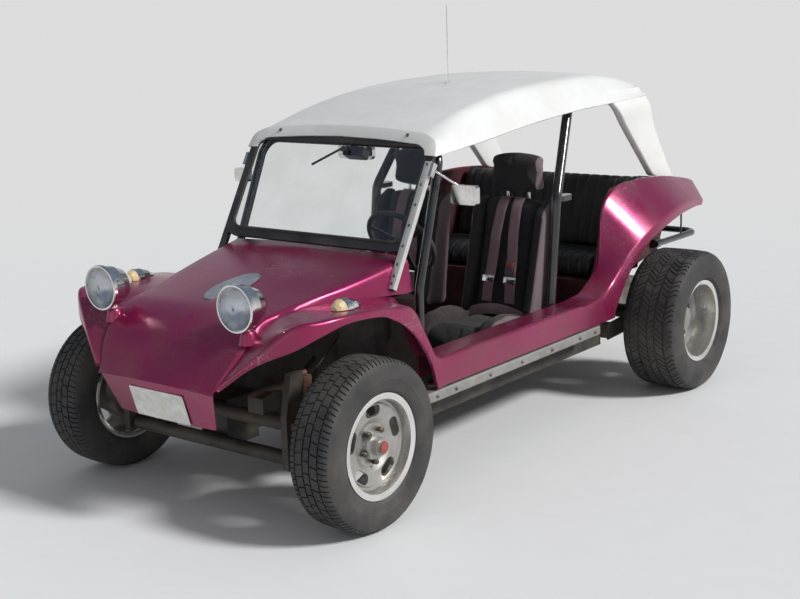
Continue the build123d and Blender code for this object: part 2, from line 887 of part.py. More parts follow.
# Flat pieces on the shell: the oval on the hood and the blank number plate
hood_rise = (hood_back_z - hood_shoulder[1]) / (cowl_station + 60 - hood_shoulder[0])
oval_station = 40.0
oval_plane = Plane(
    origin=place(0, oval_station, hood_shoulder[1] + hood_rise * (oval_station - hood_shoulder[0]) + seat_gap),
    x_dir=(1, 0, 0),
    z_dir=Vector(0, -hood_rise, 1),
)
with BuildPart() as hood_oval:
    with BuildSketch(oval_plane):
        Ellipse(76, 146)
    extrude(amount=4)
nose_top_middle = nose_rows[0][2] - nose_rows[0][3]
nose_low_middle = nose_rows[1][2] - nose_rows[1][3]
nose_lean = (nose_low_middle - nose_top_middle) / (nose_rows[0][0] - nose_low_z)
plate_z = 470.0
plate_station = nose_low_middle - (plate_z - nose_low_z) * nose_lean
plate_plane = Plane(
    origin=place(0, plate_station - 1.0, plate_z),
    x_dir=(1, 0, 0),
    z_dir=Vector(0, -1, -nose_lean),
)
with BuildPart() as number_plate:
    with BuildSketch(plate_plane):
        RectangleRounded(300, 130, 8)
    extrude(amount=2)

# Mirrors, wiper and antenna
with BuildPart() as mirrors:
    for side, wide, high, x, station, z in ((1, 128, 80, 640, 770, 1180), (-1, 90, 66, 598, 736, 1203)):
        with BuildSketch(cross_at(station + 14)):
            with Locations((side * x, z)):
                RectangleRounded(wide, high, 14)
        extrude(amount=28)
        with BuildSketch(screen_at(-2)):
            with Locations((side * (screen_half + 8.3), 540)):
                Rectangle(16, 60)
        extrude(amount=screen_bar + 4)
        clamp = Vector(*place(side * (screen_half + 10), 706, 1282))
        head = Vector(*place(side * (x - wide / 4), station, z + high / 2 - 6))
        with BuildSketch(Plane(origin=clamp, z_dir=head - clamp)):
            Circle(6)
        extrude(amount=(head - clamp).length)
    with BuildSketch(cross_at(862)):
        with Locations((0, 1322)):
            RectangleRounded(196, 62, 20)
    extrude(amount=22)
    stem_low = Vector(*place(0, 850, 1340))
    stem_high = Vector(*place(0, 816.2, 1361.6))
    with BuildSketch(Plane(origin=stem_low, z_dir=stem_high - stem_low)):
        Circle(6)
    extrude(amount=(stem_high - stem_low).length)
blade_drop = (-150.0, -88.0)
with BuildPart() as wiper:
    with BuildSketch(screen_at(-8)):
        with Locations(wiper_spot):
            Circle(wiper_shaft)
    extrude(amount=screen_bar + 22)
    with BuildSketch(screen_at(-seat_gap - 2)):
        with Locations((wiper_spot[0] + 30, wiper_spot[1] + 6)):
            RectangleRounded(110, 44, 8)
    extrude(amount=-46)
    with BuildSketch(screen_at(-seat_gap)):
        with Locations((wiper_spot[0] + 30, wiper_spot[1] + 26)):
            Rectangle(40, 64)
    extrude(amount=-4)
    with BuildSketch(screen_at(screen_bar + 4)):
        with Locations(wiper_spot):
            Circle(13)
    extrude(amount=10)
    with BuildSketch(screen_at(screen_bar + 6)):
        shape(
            strip(
                [
                    (wiper_spot[0], wiper_spot[1] + 4),
                    (wiper_spot[0] + blade_drop[0], wiper_spot[1] + blade_drop[1] + 4),
                ],
                8,
            )
        )
    extrude(amount=6)
antenna_station = 1480.0
roof_antenna_z = 1578 + (1608 - 1578) * (antenna_station - 1370) / (1840 - 1370)
with BuildPart() as antenna:
    with BuildSketch(plan_at(roof_antenna_z + seat_gap)):
        with Locations((50, antenna_station)):
            Circle(14)
    extrude(amount=14)
    with BuildSketch(plan_at(roof_antenna_z + 14)):
        with Locations((50, antenna_station)):
            Circle(2.5)
    extrude(amount=350)

# Side rails under the sills, bolted to the pan's flanges
rail_z = (378.0, 424.0)
rail_x = (644.0, 698.0)
rail_front = 410.0
rail_rear = 1790.0
with BuildPart() as side_rails:
    for side in (-1, 1):
        with BuildSketch(cross_at(rail_front)):
            with Locations((side * sum(rail_x) / 2, sum(rail_z) / 2)):
                RectangleRounded(rail_x[1] - rail_x[0], rail_z[1] - rail_z[0], 9)
        extrude(amount=rail_front - rail_rear)
        with BuildSketch(plan_at(rail_z[0] + 6)):
            for station in (600, 1100, 1600):
                with Locations((side * (cabin_half + seat_gap + rail_x[0] + 2) / 2, station)):
                    Rectangle(rail_x[0] + 2 - cabin_half - seat_gap, 50)
        extrude(amount=24)

# Front axle: two transverse tubes, shock towers, trailing arms and the carriers of the kingpins
arm_out = 540.0
beam_half = 430.0
tower_x = 452.0
kingpin_radius = 11.0
pin_low = 245.0
pin_high = 415.0
lug = 22.0
with BuildPart() as front_beam:
    for z in (beam_low_z, beam_high_z):
        with BuildSketch(side_at(-beam_half)):
            with Locations((beam_station, z)):
                Circle(beam_tube_radius)
        extrude(amount=2 * beam_half)
        with BuildSketch(side_at(-beam_half - 44)):
            with Locations((beam_station, z)):
                Circle(beam_tube_radius - 8)
        extrude(amount=2 * beam_half + 88)
    for side in (-1, 1):
        with BuildSketch(side_at(side * tower_x - 15)):
            shape(
                [
                    (beam_station - 42, beam_low_z - 34),
                    (beam_station - 42, beam_high_z + 36),
                    (beam_station - 8, 600),
                    (beam_station + 62, 600),
                    (beam_station + 62, 574),
                    (beam_station + 34, beam_high_z + 50),
                    (beam_station + 34, beam_low_z - 34),
                ]
            )
        extrude(amount=30)
        for z in (beam_low_z, beam_high_z):
            with BuildSketch(plan_at(z - 15)):
                shape(
                    [
                        (side * 470, beam_station - 24),
                        (side * 500, beam_station - 24),
                        (side * 548, -24),
                        (side * kingpin_x, -lug),
                        (side * kingpin_x, lug),
                        (side * 530, lug),
                        (side * 470, beam_station + 30),
                    ]
                )
                with Locations((side * kingpin_x, 0)):
                    Circle(lug)
            extrude(amount=30)
        with BuildSketch(plan_at(beam_low_z - 15)):
            with Locations((side * 528, 0)):
                Rectangle(24, 2 * lug)
        extrude(amount=beam_high_z - beam_low_z + 30)
        with BuildSketch(plan_at(pin_low)):
            with Locations((side * kingpin_x, 0)):
                Circle(kingpin_radius)
        extrude(amount=pin_high - pin_low)

# Shock absorbers behind the towers, down to the lower trailing arms
shock_station = -46.0
with BuildPart() as shocks:
    for side in (-1, 1):
        for z, length, radius in ((272, 176, 19), (418, 156, 25), (262, 330, 9)):
            with BuildSketch(plan_at(z)):
                with Locations((side * tower_x, shock_station)):
                    Circle(radius)
            extrude(amount=length)
        with BuildSketch(cross_at(shock_station)):
            with Locations((side * tower_x, 587)):
                Circle(12)
        extrude(amount=shock_station - beam_station - 62 - seat_gap)
        with BuildSketch(side_at(side * 470 - 22)):
            with Locations((shock_station, beam_low_z)):
                Circle(12)
        extrude(amount=44)

# Steering knuckles: sleeve on the kingpin, stub axle, brake plate, and an arm straight back to the tie rod
sleeve_low = 292.0
sleeve_high = 368.0
stub_radius = 15.0
stub_end = 742.0
arm_low = 343.0
arm_high = 357.0
rod_pin = 6.0
left_rod_z = 367.0
right_rod_z = 382.0
eye_half = 5.0


def knuckle(rod_z):
    """Left knuckle whose tie-rod pin reaches up through an eye at rod_z."""
    with BuildPart() as body:
        with BuildSketch(plan_at(sleeve_low)):
            with Locations((kingpin_x, 0)):
                Circle(20)
        extrude(amount=sleeve_high - sleeve_low)
        with BuildSketch(side_at(kingpin_x)):
            with Locations((0, front_tyre_radius)):
                Circle(24)
        extrude(amount=27)
        with BuildSketch(side_at(kingpin_x + 25)):
            with Locations((0, front_tyre_radius)):
                Circle(118)
        extrude(amount=3)
        with BuildSketch(side_at(kingpin_x + 20)):
            with Locations((0, front_tyre_radius)):
                Circle(stub_radius)
        extrude(amount=stub_end - kingpin_x - 20)
        with BuildSketch(side_at(stub_end - 16)):
            with Locations((0, front_tyre_radius)):
                RegularPolygon(stub_radius + 8, 6)
        extrude(amount=12)
        with BuildSketch(plan_at(arm_low)):
            shape([(kingpin_x - 12, 0), (kingpin_x + 12, 0), (kingpin_x + 9, steering_arm), (kingpin_x - 9, steering_arm)])
            with Locations((kingpin_x, steering_arm)):
                Circle(13)
        extrude(amount=arm_high - arm_low)
        with BuildSketch(plan_at(arm_low)):
            with Locations((kingpin_x, steering_arm)):
                Circle(rod_pin)
        extrude(amount=rod_z + eye_half + 6 - arm_low)
        with BuildSketch(plan_at(sleeve_low - 1)):
            with Locations((kingpin_x, 0)):
                Circle(kingpin_radius + running_gap)
        extrude(amount=sleeve_high - sleeve_low + 2, mode=Mode.SUBTRACT)
    return body.part


left_knuckle = knuckle(left_rod_z)
right_knuckle = mirrored(knuckle(right_rod_z))
with BuildPart() as knuckle_left:
    add(left_knuckle)
with BuildPart() as knuckle_right:
    add(right_knuckle)


def tie_rod(outer_x, z):
    """Tie rod from the knuckle pin at outer_x to the pitman pin. The pitman eye has the link clearance."""
    toward = 1 if outer_x > pitman_x else -1
    with BuildPart() as rod:
        with BuildSketch(plan_at(z - eye_half)):
            with Locations((outer_x, steering_arm), (pitman_x, steering_arm)):
                Circle(15)
        extrude(amount=2 * eye_half)
        with BuildSketch(side_at(pitman_x + toward * 12 if toward > 0 else outer_x + 12)):
            with Locations((steering_arm, z)):
                Circle(rod_pin)
        extrude(amount=abs(outer_x - pitman_x) - 24)
        with BuildSketch(plan_at(z - eye_half - 1)):
            with Locations((outer_x, steering_arm)):
                Circle(rod_pin + running_gap)
            with Locations((pitman_x, steering_arm)):
                Circle(rod_pin + link_gap)
        extrude(amount=2 * eye_half + 2, mode=Mode.SUBTRACT)
    return rod.part


left_rod = tie_rod(kingpin_x, left_rod_z)
right_rod = tie_rod(-kingpin_x, right_rod_z)
with BuildPart() as tie_rod_left:
    add(left_rod)
with BuildPart() as tie_rod_right:
    add(right_rod)

# Pitman arm under the steering box
pitman_low = 395.0
pitman_high = 409.0
pitman_shaft = 12.0
box_low = 432.0
box_high = 506.0
with BuildPart() as pitman_link:
    with BuildSketch(plan_at(pitman_low)):
        shape([(pitman_x - 16, 0), (pitman_x + 16, 0), (pitman_x + 11, steering_arm), (pitman_x - 11, steering_arm)])
        with Locations((pitman_x, 0)):
            Circle(20)
        with Locations((pitman_x, steering_arm)):
            Circle(14)
    extrude(amount=pitman_high - pitman_low)
    with BuildSketch(plan_at(left_rod_z - eye_half - 6)):
        with Locations((pitman_x, steering_arm)):
            Circle(rod_pin)
    extrude(amount=pitman_low - left_rod_z + eye_half + 10)
    with BuildSketch(plan_at(pitman_low)):
        with Locations((pitman_x, 0)):
            Circle(pitman_shaft)
    extrude(amount=box_low + 40 - pitman_low)

# Steering box on the upper axle tube, with the column up to the dash
shaft_radius = 10.0
column_length = Vector(0, column_head[0] - column_foot[0], column_head[1] - column_foot[1]).length
tube_length = column_length - 96
with BuildPart() as steering_column:
    with BuildSketch(side_at(driver_x - 40)):
        shape(
            [
                (beam_station - 34, beam_high_z + beam_tube_radius + seat_gap),
                (beam_station - 34, box_high - 16),
                (beam_station + 20, box_high),
                (50, box_high),
                (60, box_high - 14),
                (60, box_low),
                (beam_station + 34, box_low),
                (beam_station + 34, beam_high_z + beam_tube_radius + seat_gap),
            ]
        )
    extrude(amount=80)
    with BuildSketch(column_plane):
        Circle(column_tube)
    extrude(amount=tube_length)
    with BuildSketch(column_plane.offset(tube_length - 140)):
        Circle(shaft_radius + running_gap)
    extrude(amount=200, mode=Mode.SUBTRACT)
    with BuildSketch(plan_at(box_low - 1)):
        with Locations((pitman_x, 0)):
            Circle(pitman_shaft + running_gap)
    extrude(amount=50, mode=Mode.SUBTRACT)
    with BuildSketch(cross_at(dash_station + cowl_sheet + seat_gap)):
        with Locations((driver_x, 797)):
            Rectangle(110, 70)
    extrude(amount=-5)

# Steering wheel: rim, three spokes and hub on its shaft
wheel_plane = Plane(origin=place(driver_x, *column_head), x_dir=(1, 0, 0), z_dir=column_run)
steering_rim_r = 160.0
with BuildPart() as steering_wheel:
    with BuildSketch(Plane(origin=wheel_plane.origin, x_dir=wheel_plane.x_dir, z_dir=-wheel_plane.y_dir)):
        with Locations((steering_rim_r, 0)):
            Circle(12)
    revolve(axis=Axis(wheel_plane.origin, wheel_plane.z_dir))
    with BuildSketch(wheel_plane.offset(-8)):
        Circle(30)
        for turn in (90, 210, 330):
            with Locations(Rot(0, 0, turn) * Pos(steering_rim_r / 2, 0)):
                Rectangle(steering_rim_r, 24)
    extrude(amount=5)
    with BuildSketch(wheel_plane.offset(-60)):
        Circle(32)
    extrude(amount=60)
    with BuildSketch(wheel_plane.offset(-96 - 130)):
        Circle(shaft_radius)
    extrude(amount=200)

# Wheels. Profiles list distance out from the tyre's middle plane, and radius
def tyre_profile(half_width, radius):
    """Right half and left half of the tyre's section, as one closed outline."""
    half = [
        (0, radius),
        (half_width * 0.72, radius - 3),
        (half_width * 0.86, radius - 10),
        (half_width * 0.95, radius - 30),
        (half_width, radius - 66),
        (half_width * 0.97, rim_flange_radius + 28),
        (half_width * 0.885, rim_flange_radius + 6),
        (half_width * 0.80, rim_flange_radius + 1),
        (half_width * 0.80, rim_flange_radius - 15),
    ]
    return half + [(-s, r) for s, r in half[::-1] if s]


def wheel_tyre(x, station, half_width, radius):
    """Tyre centred at x and standing on the ground."""
    return turned_across(x, station, radius, tyre_profile(half_width, radius))


front_half = front_tyre_width / 2
rear_half = rear_tyre_width / 2
hub_bore = stub_radius + running_gap
rim_slot_r = 132.0
rim_slot_run = 40.0
rim_slot_high = 44.0


def front_rim_body():
    """Slotted disc wheel with its brake drum, hub and protruding cap, left side."""
    seat = front_half * 0.80 + seat_gap
    flange = rim_flange_radius
    profile = [
        (seat, flange - 15.6),
        (seat, flange),
        (seat + 7, flange),
        (seat + 7, flange - 10),
        (seat + 3, flange - 24),
        (44, 174),
        (40, 162),
        (48, 158),
        (44, 104),
        (34, 84),
        (34, 52),
        (14, 46),
        (14, hub_bore),
        (-84, hub_bore),
        (-84, 40),
        (-60, 44),
        (-60, 112),
        (-90, 112),
        (-90, 116),
        (-42, 118),
        (-42, 60),
        (18, 60),
        (30, 104),
        (34, 156),
        (30, 178),
        (-seat - 2, flange - 22),
        (-seat - 7, flange - 10),
        (-seat - 7, flange),
        (-seat, flange),
        (-seat, flange - 15.6),
    ]
    with BuildPart() as rim:
        add(turned_across(front_half_track, 0, front_tyre_radius, profile))
        with BuildSketch(side_at(front_half_track - 20)):
            with Locations((0, front_tyre_radius)):
                with PolarLocations(rim_slot_r, 5, start_angle=18):
                    SlotCenterToCenter(rim_slot_run, rim_slot_high, rotation=90)
        extrude(amount=90, mode=Mode.SUBTRACT)
        with BuildSketch(side_at(front_half_track + 30)):
            with Locations((0, front_tyre_radius)):
                Circle(54)
                Circle(46, mode=Mode.SUBTRACT)
        extrude(amount=26)
        with BuildSketch(side_at(front_half_track + 54)):
            with Locations((0, front_tyre_radius)):
                Circle(54)
        extrude(amount=8, taper=30)
        with BuildSketch(side_at(front_half_track + 58)):
            with Locations((0, front_tyre_radius)):
                Circle(37)
        extrude(amount=28, taper=6)
        with BuildSketch(side_at(front_half_track + 86)):
            with Locations((0, front_tyre_radius)):
                Circle(27)
        extrude(amount=9)
    return rim.part


def rear_rim_body():
    """Deep-dished wheel with its drum and hub, left side."""
    seat = rear_half * 0.80 + seat_gap
    flange = rim_flange_radius
    profile = [
        (seat, flange - 15.6),
        (seat, flange),
        (seat + 8, flange),
        (seat + 8, flange - 10),
        (seat + 2, flange - 22),
        (10, 174),
        (-14, 162),
        (-22, 102),
        (-8, 84),
        (-8, 56),
        (-20, 50),
        (-20, hub_bore),
        (-130, hub_bore),
        (-130, 42),
        (-104, 46),
        (-104, 118),
        (-128, 120),
        (-128, 124),
        (-84, 126),
        (-84, 62),
        (-26, 62),
        (-31, 103),
        (-24, 168),
        (-30, 178),
        (-seat - 2, flange - 22),
        (-seat - 8, flange - 10),
        (-seat - 8, flange),
        (-seat, flange),
        (-seat, flange - 15.6),
    ]
    with BuildPart() as rim:
        add(turned_across(rear_half_track, wheelbase, rear_tyre_radius, profile))
        with BuildSketch(side_at(rear_half_track - 60)):
            with Locations((wheelbase, rear_tyre_radius)):
                with PolarLocations(rim_slot_r, 5, start_angle=18):
                    SlotCenterToCenter(rim_slot_run, rim_slot_high, rotation=90)
        extrude(amount=90, mode=Mode.SUBTRACT)
        with BuildSketch(side_at(rear_half_track - 12)):
            with Locations((wheelbase, rear_tyre_radius)):
                Circle(58)
                Circle(48, mode=Mode.SUBTRACT)
        extrude(amount=50)
        with BuildSketch(side_at(rear_half_track + 34)):
            with Locations((wheelbase, rear_tyre_radius)):
                Circle(58)
        extrude(amount=6)
    return rim.part


tyre_parts = {
    "tyre_front_left": wheel_tyre(front_half_track, 0, front_half, front_tyre_radius),
    "tyre_rear_left": wheel_tyre(rear_half_track, wheelbase, rear_half, rear_tyre_radius),
    "rim_front_left": front_rim_body(),
    "rim_rear_left": rear_rim_body(),
}
wheel_parts = {}
for label, piece in tyre_parts.items():
    with BuildPart() as left_piece:
        add(piece)
    with BuildPart() as right_piece:
        add(mirrored(piece))
    wheel_parts[label] = left_piece
    wheel_parts[label.replace("_left", "_right")] = right_piece

# Rear axle: gearbox between the horns, axle tubes, spring plates and brake plates
tube_end = 650.0
gearbox_front = pan_rear + 95.0
bell_rear = wheelbase + 150.0
rear_stub_end = rear_half_track + 20
with BuildPart() as rear_axle:
    with BuildSketch(cross_at(gearbox_front)):
        with Locations((0, 352)):
            RectangleRounded(130, 110, 30)
    with BuildSketch(cross_at(wheelbase - 60)):
        with Locations((0, 354)):
            RectangleRounded(200, 200, 50)
    with BuildSketch(cross_at(wheelbase + 60)):
        with Locations((0, 354)):
            RectangleRounded(220, 220, 60)
    loft(ruled=True)
    with BuildSketch(cross_at(wheelbase + 60)):
        with Locations((0, 366)):
            Circle(118)
    with BuildSketch(cross_at(bell_rear)):
        with Locations((0, 376)):
            Circle(148)
    loft(ruled=True)
    with BuildSketch(side_at(-tube_end)):
        with Locations((wheelbase, rear_tyre_radius)):
            Circle(36)
    extrude(amount=2 * tube_end)
    with BuildSketch(side_at(-rear_stub_end)):
        with Locations((wheelbase, rear_tyre_radius)):
            Circle(stub_radius)
    extrude(amount=2 * rear_stub_end)
    for side in (-1, 1):
        with BuildSketch(side_at(side * 140 - 30)):
            with Locations((wheelbase, rear_tyre_radius)):
                Circle(50)
        extrude(amount=60)
        with BuildSketch(side_at(side * (tube_end - 14) - 4)):
            with Locations((wheelbase, rear_tyre_radius)):
                Circle(126)
        extrude(amount=8)
        with BuildSketch(side_at(side * 604.5 - 4)):
            shape(
                [
                    (pan_rear + 10, 290),
                    (pan_rear + 10, 372),
                    (wheelbase + 30, 400),
                    (wheelbase + 50, 354),
                    (wheelbase + 30, 306),
                ]
            )
        extrude(amount=8)
        with BuildSketch(side_at(side * (rear_stub_end - 10) - 6)):
            with Locations((wheelbase, rear_tyre_radius)):
                RegularPolygon(stub_radius + 8, 6)
        extrude(amount=12)

# Engine: case, four finned cylinders with their heads and covers, pulley and intake
engine_front = bell_rear + seat_gap
case_half = 130.0
fin_pitch = 16.0
crank_z = 376.0
with BuildPart() as engine:
    with BuildSketch(cross_at(engine_front)):
        with Locations((0, crank_z)):
            Circle(148)
    extrude(amount=-24)
    with BuildSketch(cross_at(engine_front + 10)):
        with Locations((0, crank_z)):
            RectangleRounded(2 * case_half, 250, 50)
    extrude(amount=-300)
    for side in (-1, 1):
        for station in (engine_front + 90, engine_front + 220):
            with BuildSketch(side_at(side * 215 - 95)):
                with Locations((station, crank_z)):
                    Circle(46)
            extrude(amount=190)
            with BuildSketch(side_at(side * 200 - 62)):
                with Locations((station, crank_z)):
                    Circle(62)
            extrude(amount=4)
            for k in range(1, 8):
                with BuildSketch(side_at(side * 200 - 62 + k * fin_pitch)):
                    with Locations((station, crank_z)):
                        Circle(62)
                extrude(amount=4)
        with BuildSketch(side_at(side * 292 - 28)):
            with Locations((engine_front + 155, crank_z + 4)):
                RectangleRounded(300, 140, 20)
        extrude(amount=56)
        with BuildSketch(side_at(side * 340 - 22)):
            with Locations((engine_front + 155, crank_z - 10)):
                RectangleRounded(290, 100, 24)
        extrude(amount=44)
    with BuildSketch(cross_at(engine_front + 305)):
        with Locations((0, crank_z)):
            Circle(86)
    extrude(amount=-28)
    with BuildSketch(plan_at(crank_z + 120)):
        with Locations((112, engine_front + 200)):
            Circle(34)
    extrude(amount=70)

# Fan shroud with the generator and its pulley
shroud_station = engine_front + 40
case_top = crank_z + 125 + seat_gap
with BuildPart() as fan_shroud:
    with BuildSketch(cross_at(shroud_station)):
        with BuildLine():
            Polyline((-300, 536), (-300, case_top), (300, case_top), (300, 536), (215, 640))
            ThreePointArc((215, 640), (0, 752), (-215, 640))
            Line((-215, 640), (-300, 536))
        make_face()
    extrude(amount=-96)
    with BuildSketch(cross_at(shroud_station + 90)):
        with Locations((0, 600)):
            Circle(54)
    extrude(amount=-170)
    with BuildSketch(cross_at(shroud_station + 258)):
        with Locations((0, 600)):
            Circle(62)
    extrude(amount=-24)
    with BuildSketch(plan_at(crank_z + 128)):
        with Locations((0, shroud_station + 180)):
            Rectangle(60, 90)
    extrude(amount=70)
    with BuildSketch(cross_at(shroud_station + 268)):
        with Locations((0, 600)):
            Circle(26)
    extrude(amount=-20)

# Exhaust: header pipes into a transverse muffler with two tail pipes
muffler_station = wheelbase + 560.0
muffler_z = 300.0
with BuildPart() as exhaust:
    with BuildSketch(side_at(-300)):
        with Locations((muffler_station, muffler_z)):
            Circle(62)
    extrude(amount=600)
    for side in (-1, 1):
        add(
            tube(
                [
                    (side * 292, engine_front + 90, crank_z - 66 - seat_gap),
                    (side * 292, engine_front + 90, 262),
                    (side * 250, muffler_station - 10, 262),
                ],
                [30],
                19,
            )
        )
        with BuildSketch(cross_at(muffler_station)):
            with Locations((side * 120, 268)):
                Circle(17)
        extrude(amount=muffler_station + 2 - wheelbase - tail_reach)

# Rear bar: hoop behind the engine, its legs bolted to the tub's sides
bar_z = 695.0
bar_radius = 17.0
bar_half = 600.0
bar_corner = wheelbase + tail_reach - bar_radius
bar_foot = wheelbase + 175.0
strut_station = wheelbase + 438.0
with BuildPart() as rear_bar:
    add(
        tube(
            [
                (-bar_half, bar_foot - 30, bar_z),
                (-bar_half, bar_corner, bar_z),
                (bar_half, bar_corner, bar_z),
                (bar_half, bar_foot - 30, bar_z),
            ],
            [70, 70],
            bar_radius,
        )
    )
    for side in (-1, 1):
        with BuildSketch(side_at(side * (cabin_half + seat_gap) - (bar_half - cabin_half) * (side < 0))):
            with Locations((bar_foot, bar_z)):
                Rectangle(60, 44)
        extrude(amount=bar_half - cabin_half)
        with BuildSketch(plan_at(bar_z)):
            with Locations((side * bar_half, strut_station)):
                Circle(5)
        extrude(amount=284)

# Controls on the tunnel and in the footwell: gear lever, handbrake and three pedals
lever_foot = tunnel_top + seat_gap
with BuildPart() as controls:
    with BuildSketch(plan_at(lever_foot)):
        with Locations((0, 900)):
            Circle(34)
    extrude(amount=14)
    add(tube([(0, 900, lever_foot + 6), (0, 880, lever_foot + 150), (0, 925, lever_foot + 330)], [60], 7))
    with BuildSketch(plan_at(lever_foot + 318)):
        with Locations((0, 924)):
            Circle(20)
    extrude(amount=32, taper=12)
    with BuildSketch(side_at(-8)):
        shape(
            [
                (1020, lever_foot),
                (1090, lever_foot),
                (1090, lever_foot + 26),
                (1290, lever_foot + 86),
                (1286, lever_foot + 108),
                (1020, lever_foot + 34),
            ]
        )
    extrude(amount=16)
    for x in (driver_x - 110, driver_x - 30, driver_x + 60):
        with BuildSketch(side_at(x - 5)):
            shape([(330, floor_top), (350, floor_top), (318, 400), (298, 400)])
        extrude(amount=10)
        with BuildSketch(side_at(x - 26)):
            shape([(298, 384), (306, 384), (286, 450), (278, 450)])
        extrude(amount=52)

for label, piece in {
    "floor_pan": floor_pan,
    "frame_head": frame_head,
    "hood": hood,
    "front_fenders": front_fenders,
    "nose_panel": nose_panel,
    "sides": sides,
    "cowl": cowl,
    "rear_tub": rear_tub,
    "windscreen_frame": windscreen_frame,
    "windscreen_glass": windscreen_glass,
    "hardtop": hardtop,
    "hoops": hoops,
    "seats": seats,
    "harness": harness,
    "rear_bench": rear_bench,
    "lamp_housings": lamp_housings,
    "headlamp_lenses": headlamp_lenses,
    "signal_lenses": signal_lenses,
    "tail_lamps": tail_lamps,
    "hood_oval": hood_oval,
    "number_plate": number_plate,
    "mirrors": mirrors,
    "wiper": wiper,
    "antenna": antenna,
    "side_rails": side_rails,
    "front_beam": front_beam,
    "shocks": shocks,
    "knuckle_left": knuckle_left,
    "knuckle_right": knuckle_right,
    "tie_rod_left": tie_rod_left,
    "tie_rod_right": tie_rod_right,
    "pitman_link": pitman_link,
    "steering_column": steering_column,
    "steering_wheel": steering_wheel,
    "rear_axle": rear_axle,
    "engine": engine,
    "fan_shroud": fan_shroud,
    "exhaust": exhaust,
    "rear_bar": rear_bar,
    "controls": controls,
    **wheel_parts,
}.items():
    piece.part.label = label
    export_step(piece.part, f"parts/{label}.step")
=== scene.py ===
"""Looks of the dune buggy around its frame: shells, soft goods, tyres, trim, light and camera."""

import json
import logging
import math
from collections.abc import Callable, Iterator, Sequence
from dataclasses import dataclass, field
from enum import Enum

import bpy
from mathutils import Matrix, Vector


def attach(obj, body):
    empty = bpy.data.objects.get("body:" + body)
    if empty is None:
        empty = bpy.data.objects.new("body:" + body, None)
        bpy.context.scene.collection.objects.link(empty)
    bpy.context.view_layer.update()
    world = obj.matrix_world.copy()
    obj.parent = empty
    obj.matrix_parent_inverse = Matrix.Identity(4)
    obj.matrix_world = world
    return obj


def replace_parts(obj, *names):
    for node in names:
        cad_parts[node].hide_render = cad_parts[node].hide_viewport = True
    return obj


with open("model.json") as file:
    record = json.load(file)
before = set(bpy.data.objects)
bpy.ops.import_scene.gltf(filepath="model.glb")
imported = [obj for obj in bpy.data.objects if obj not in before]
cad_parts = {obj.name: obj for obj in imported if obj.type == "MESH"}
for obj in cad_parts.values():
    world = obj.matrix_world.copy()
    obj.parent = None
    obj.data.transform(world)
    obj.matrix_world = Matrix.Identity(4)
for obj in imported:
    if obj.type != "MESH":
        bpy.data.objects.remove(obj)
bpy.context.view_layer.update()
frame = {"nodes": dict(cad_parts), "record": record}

log = logging.getLogger("buggy")
# Place of the front axle along the car in metres, and the wheelbase in millimetres
FRONT_AXLE_Y = -1.31275
WHEELBASE = 2400.0
SIDES = ((1, "left"), (-1, "right"))
MIRROR = Matrix.Diagonal((-1, 1, 1, 1))
CLOTH_PRESSURE = 4.0
CLOTH_FRAMES = 20
Row = list[Vector]


def at(x: float, station: float, z: float) -> Vector:
    """Point of the car in metres, from millimetres and a distance behind the front axle."""
    return Vector((x / 1000, FRONT_AXLE_Y + station / 1000, z / 1000))


class Track:
    """Smooth curve through a table of values.

    Args:
        rows: rows of a table, whose first column is the place along the curve.
    """

    def __init__(self, rows: Sequence[Sequence[float]]) -> None:
        """Sort the rows and work out the slope at each."""
        self.rows = sorted(([float(v) for v in row] for row in rows), key=lambda row: row[0])
        self.slopes: list[list[float]] = []
        for i, here in enumerate(self.rows):
            before, after = self.rows[max(i - 1, 0)], self.rows[min(i + 1, len(self.rows) - 1)]
            back, ahead = here[0] - before[0], after[0] - here[0]
            slope = []
            for low, mid, high in zip(before[1:], here[1:], after[1:]):
                left = (mid - low) / back if back else (high - mid) / ahead
                right = (high - mid) / ahead if ahead else left
                slope.append((left * ahead + right * back) / (back + ahead))
            self.slopes.append(slope)

    def __call__(self, place: float) -> list[float]:
        """Read the curve, which stays level beyond its ends.

        Args:
            place: place along the curve.

        Returns:
            The values there.
        """
        i = 0
        while i < len(self.rows) - 2 and place > self.rows[i + 1][0]:
            i += 1
        a, b = self.rows[i], self.rows[i + 1]
        span = b[0] - a[0]
        t = min(max((place - a[0]) / span, 0.0), 1.0)
        s = 1 - t
        return [
            p * s * s * (1 + 2 * t) + q * t * t * (3 - 2 * t) + span * t * s * (m * s - n * t)
            for p, q, m, n in zip(a[1:], b[1:], self.slopes[i], self.slopes[i + 1])
        ]


def soften(points: Row, radii: Sequence[float], steps: int = 4) -> Row:
    """Polyline with its corners rounded.

    Args:
        points: corners of the line, in metres.
        radii: rounding at each corner in millimetres, 0 for none.
        steps: points that each rounding adds.

    Returns:
        The rounded line. Corners that are rounded or not in the same way give the same count.
    """
    line: Row = []
    for i, point in enumerate(points):
        if not radii[i] or i in (0, len(points) - 1):
            line.append(point.copy())
            continue
        back, ahead = points[i - 1] - point, points[i + 1] - point
        reach = min(radii[i] / 1000, back.length * 0.45, ahead.length * 0.45)
        start, end = point + back.normalized() * reach, point + ahead.normalized() * reach
        for k in range(steps + 1):
            t = k / steps
            line.append(start * (1 - t) ** 2 + point * 2 * t * (1 - t) + end * t * t)
    return line


def both_sides(half: Row) -> Row:
    """Row across the whole car from the half that starts on its middle."""
    return [Vector((-p.x, p.y, p.z)) for p in half[:0:-1]] + half


def clear_selection() -> None:
    """Leave edit mode and deselect everything, before a primitive is added."""
    if bpy.context.object and bpy.context.object.mode != "OBJECT":
        bpy.ops.object.mode_set(mode="OBJECT")
    bpy.ops.object.select_all(action="DESELECT")


def pick(piece: bpy.types.Object) -> None:
    """Make a piece the only one selected, and active.

    Args:
        piece: the piece.
    """
    clear_selection()
    piece.select_set(True)
    bpy.context.view_layer.objects.active = piece


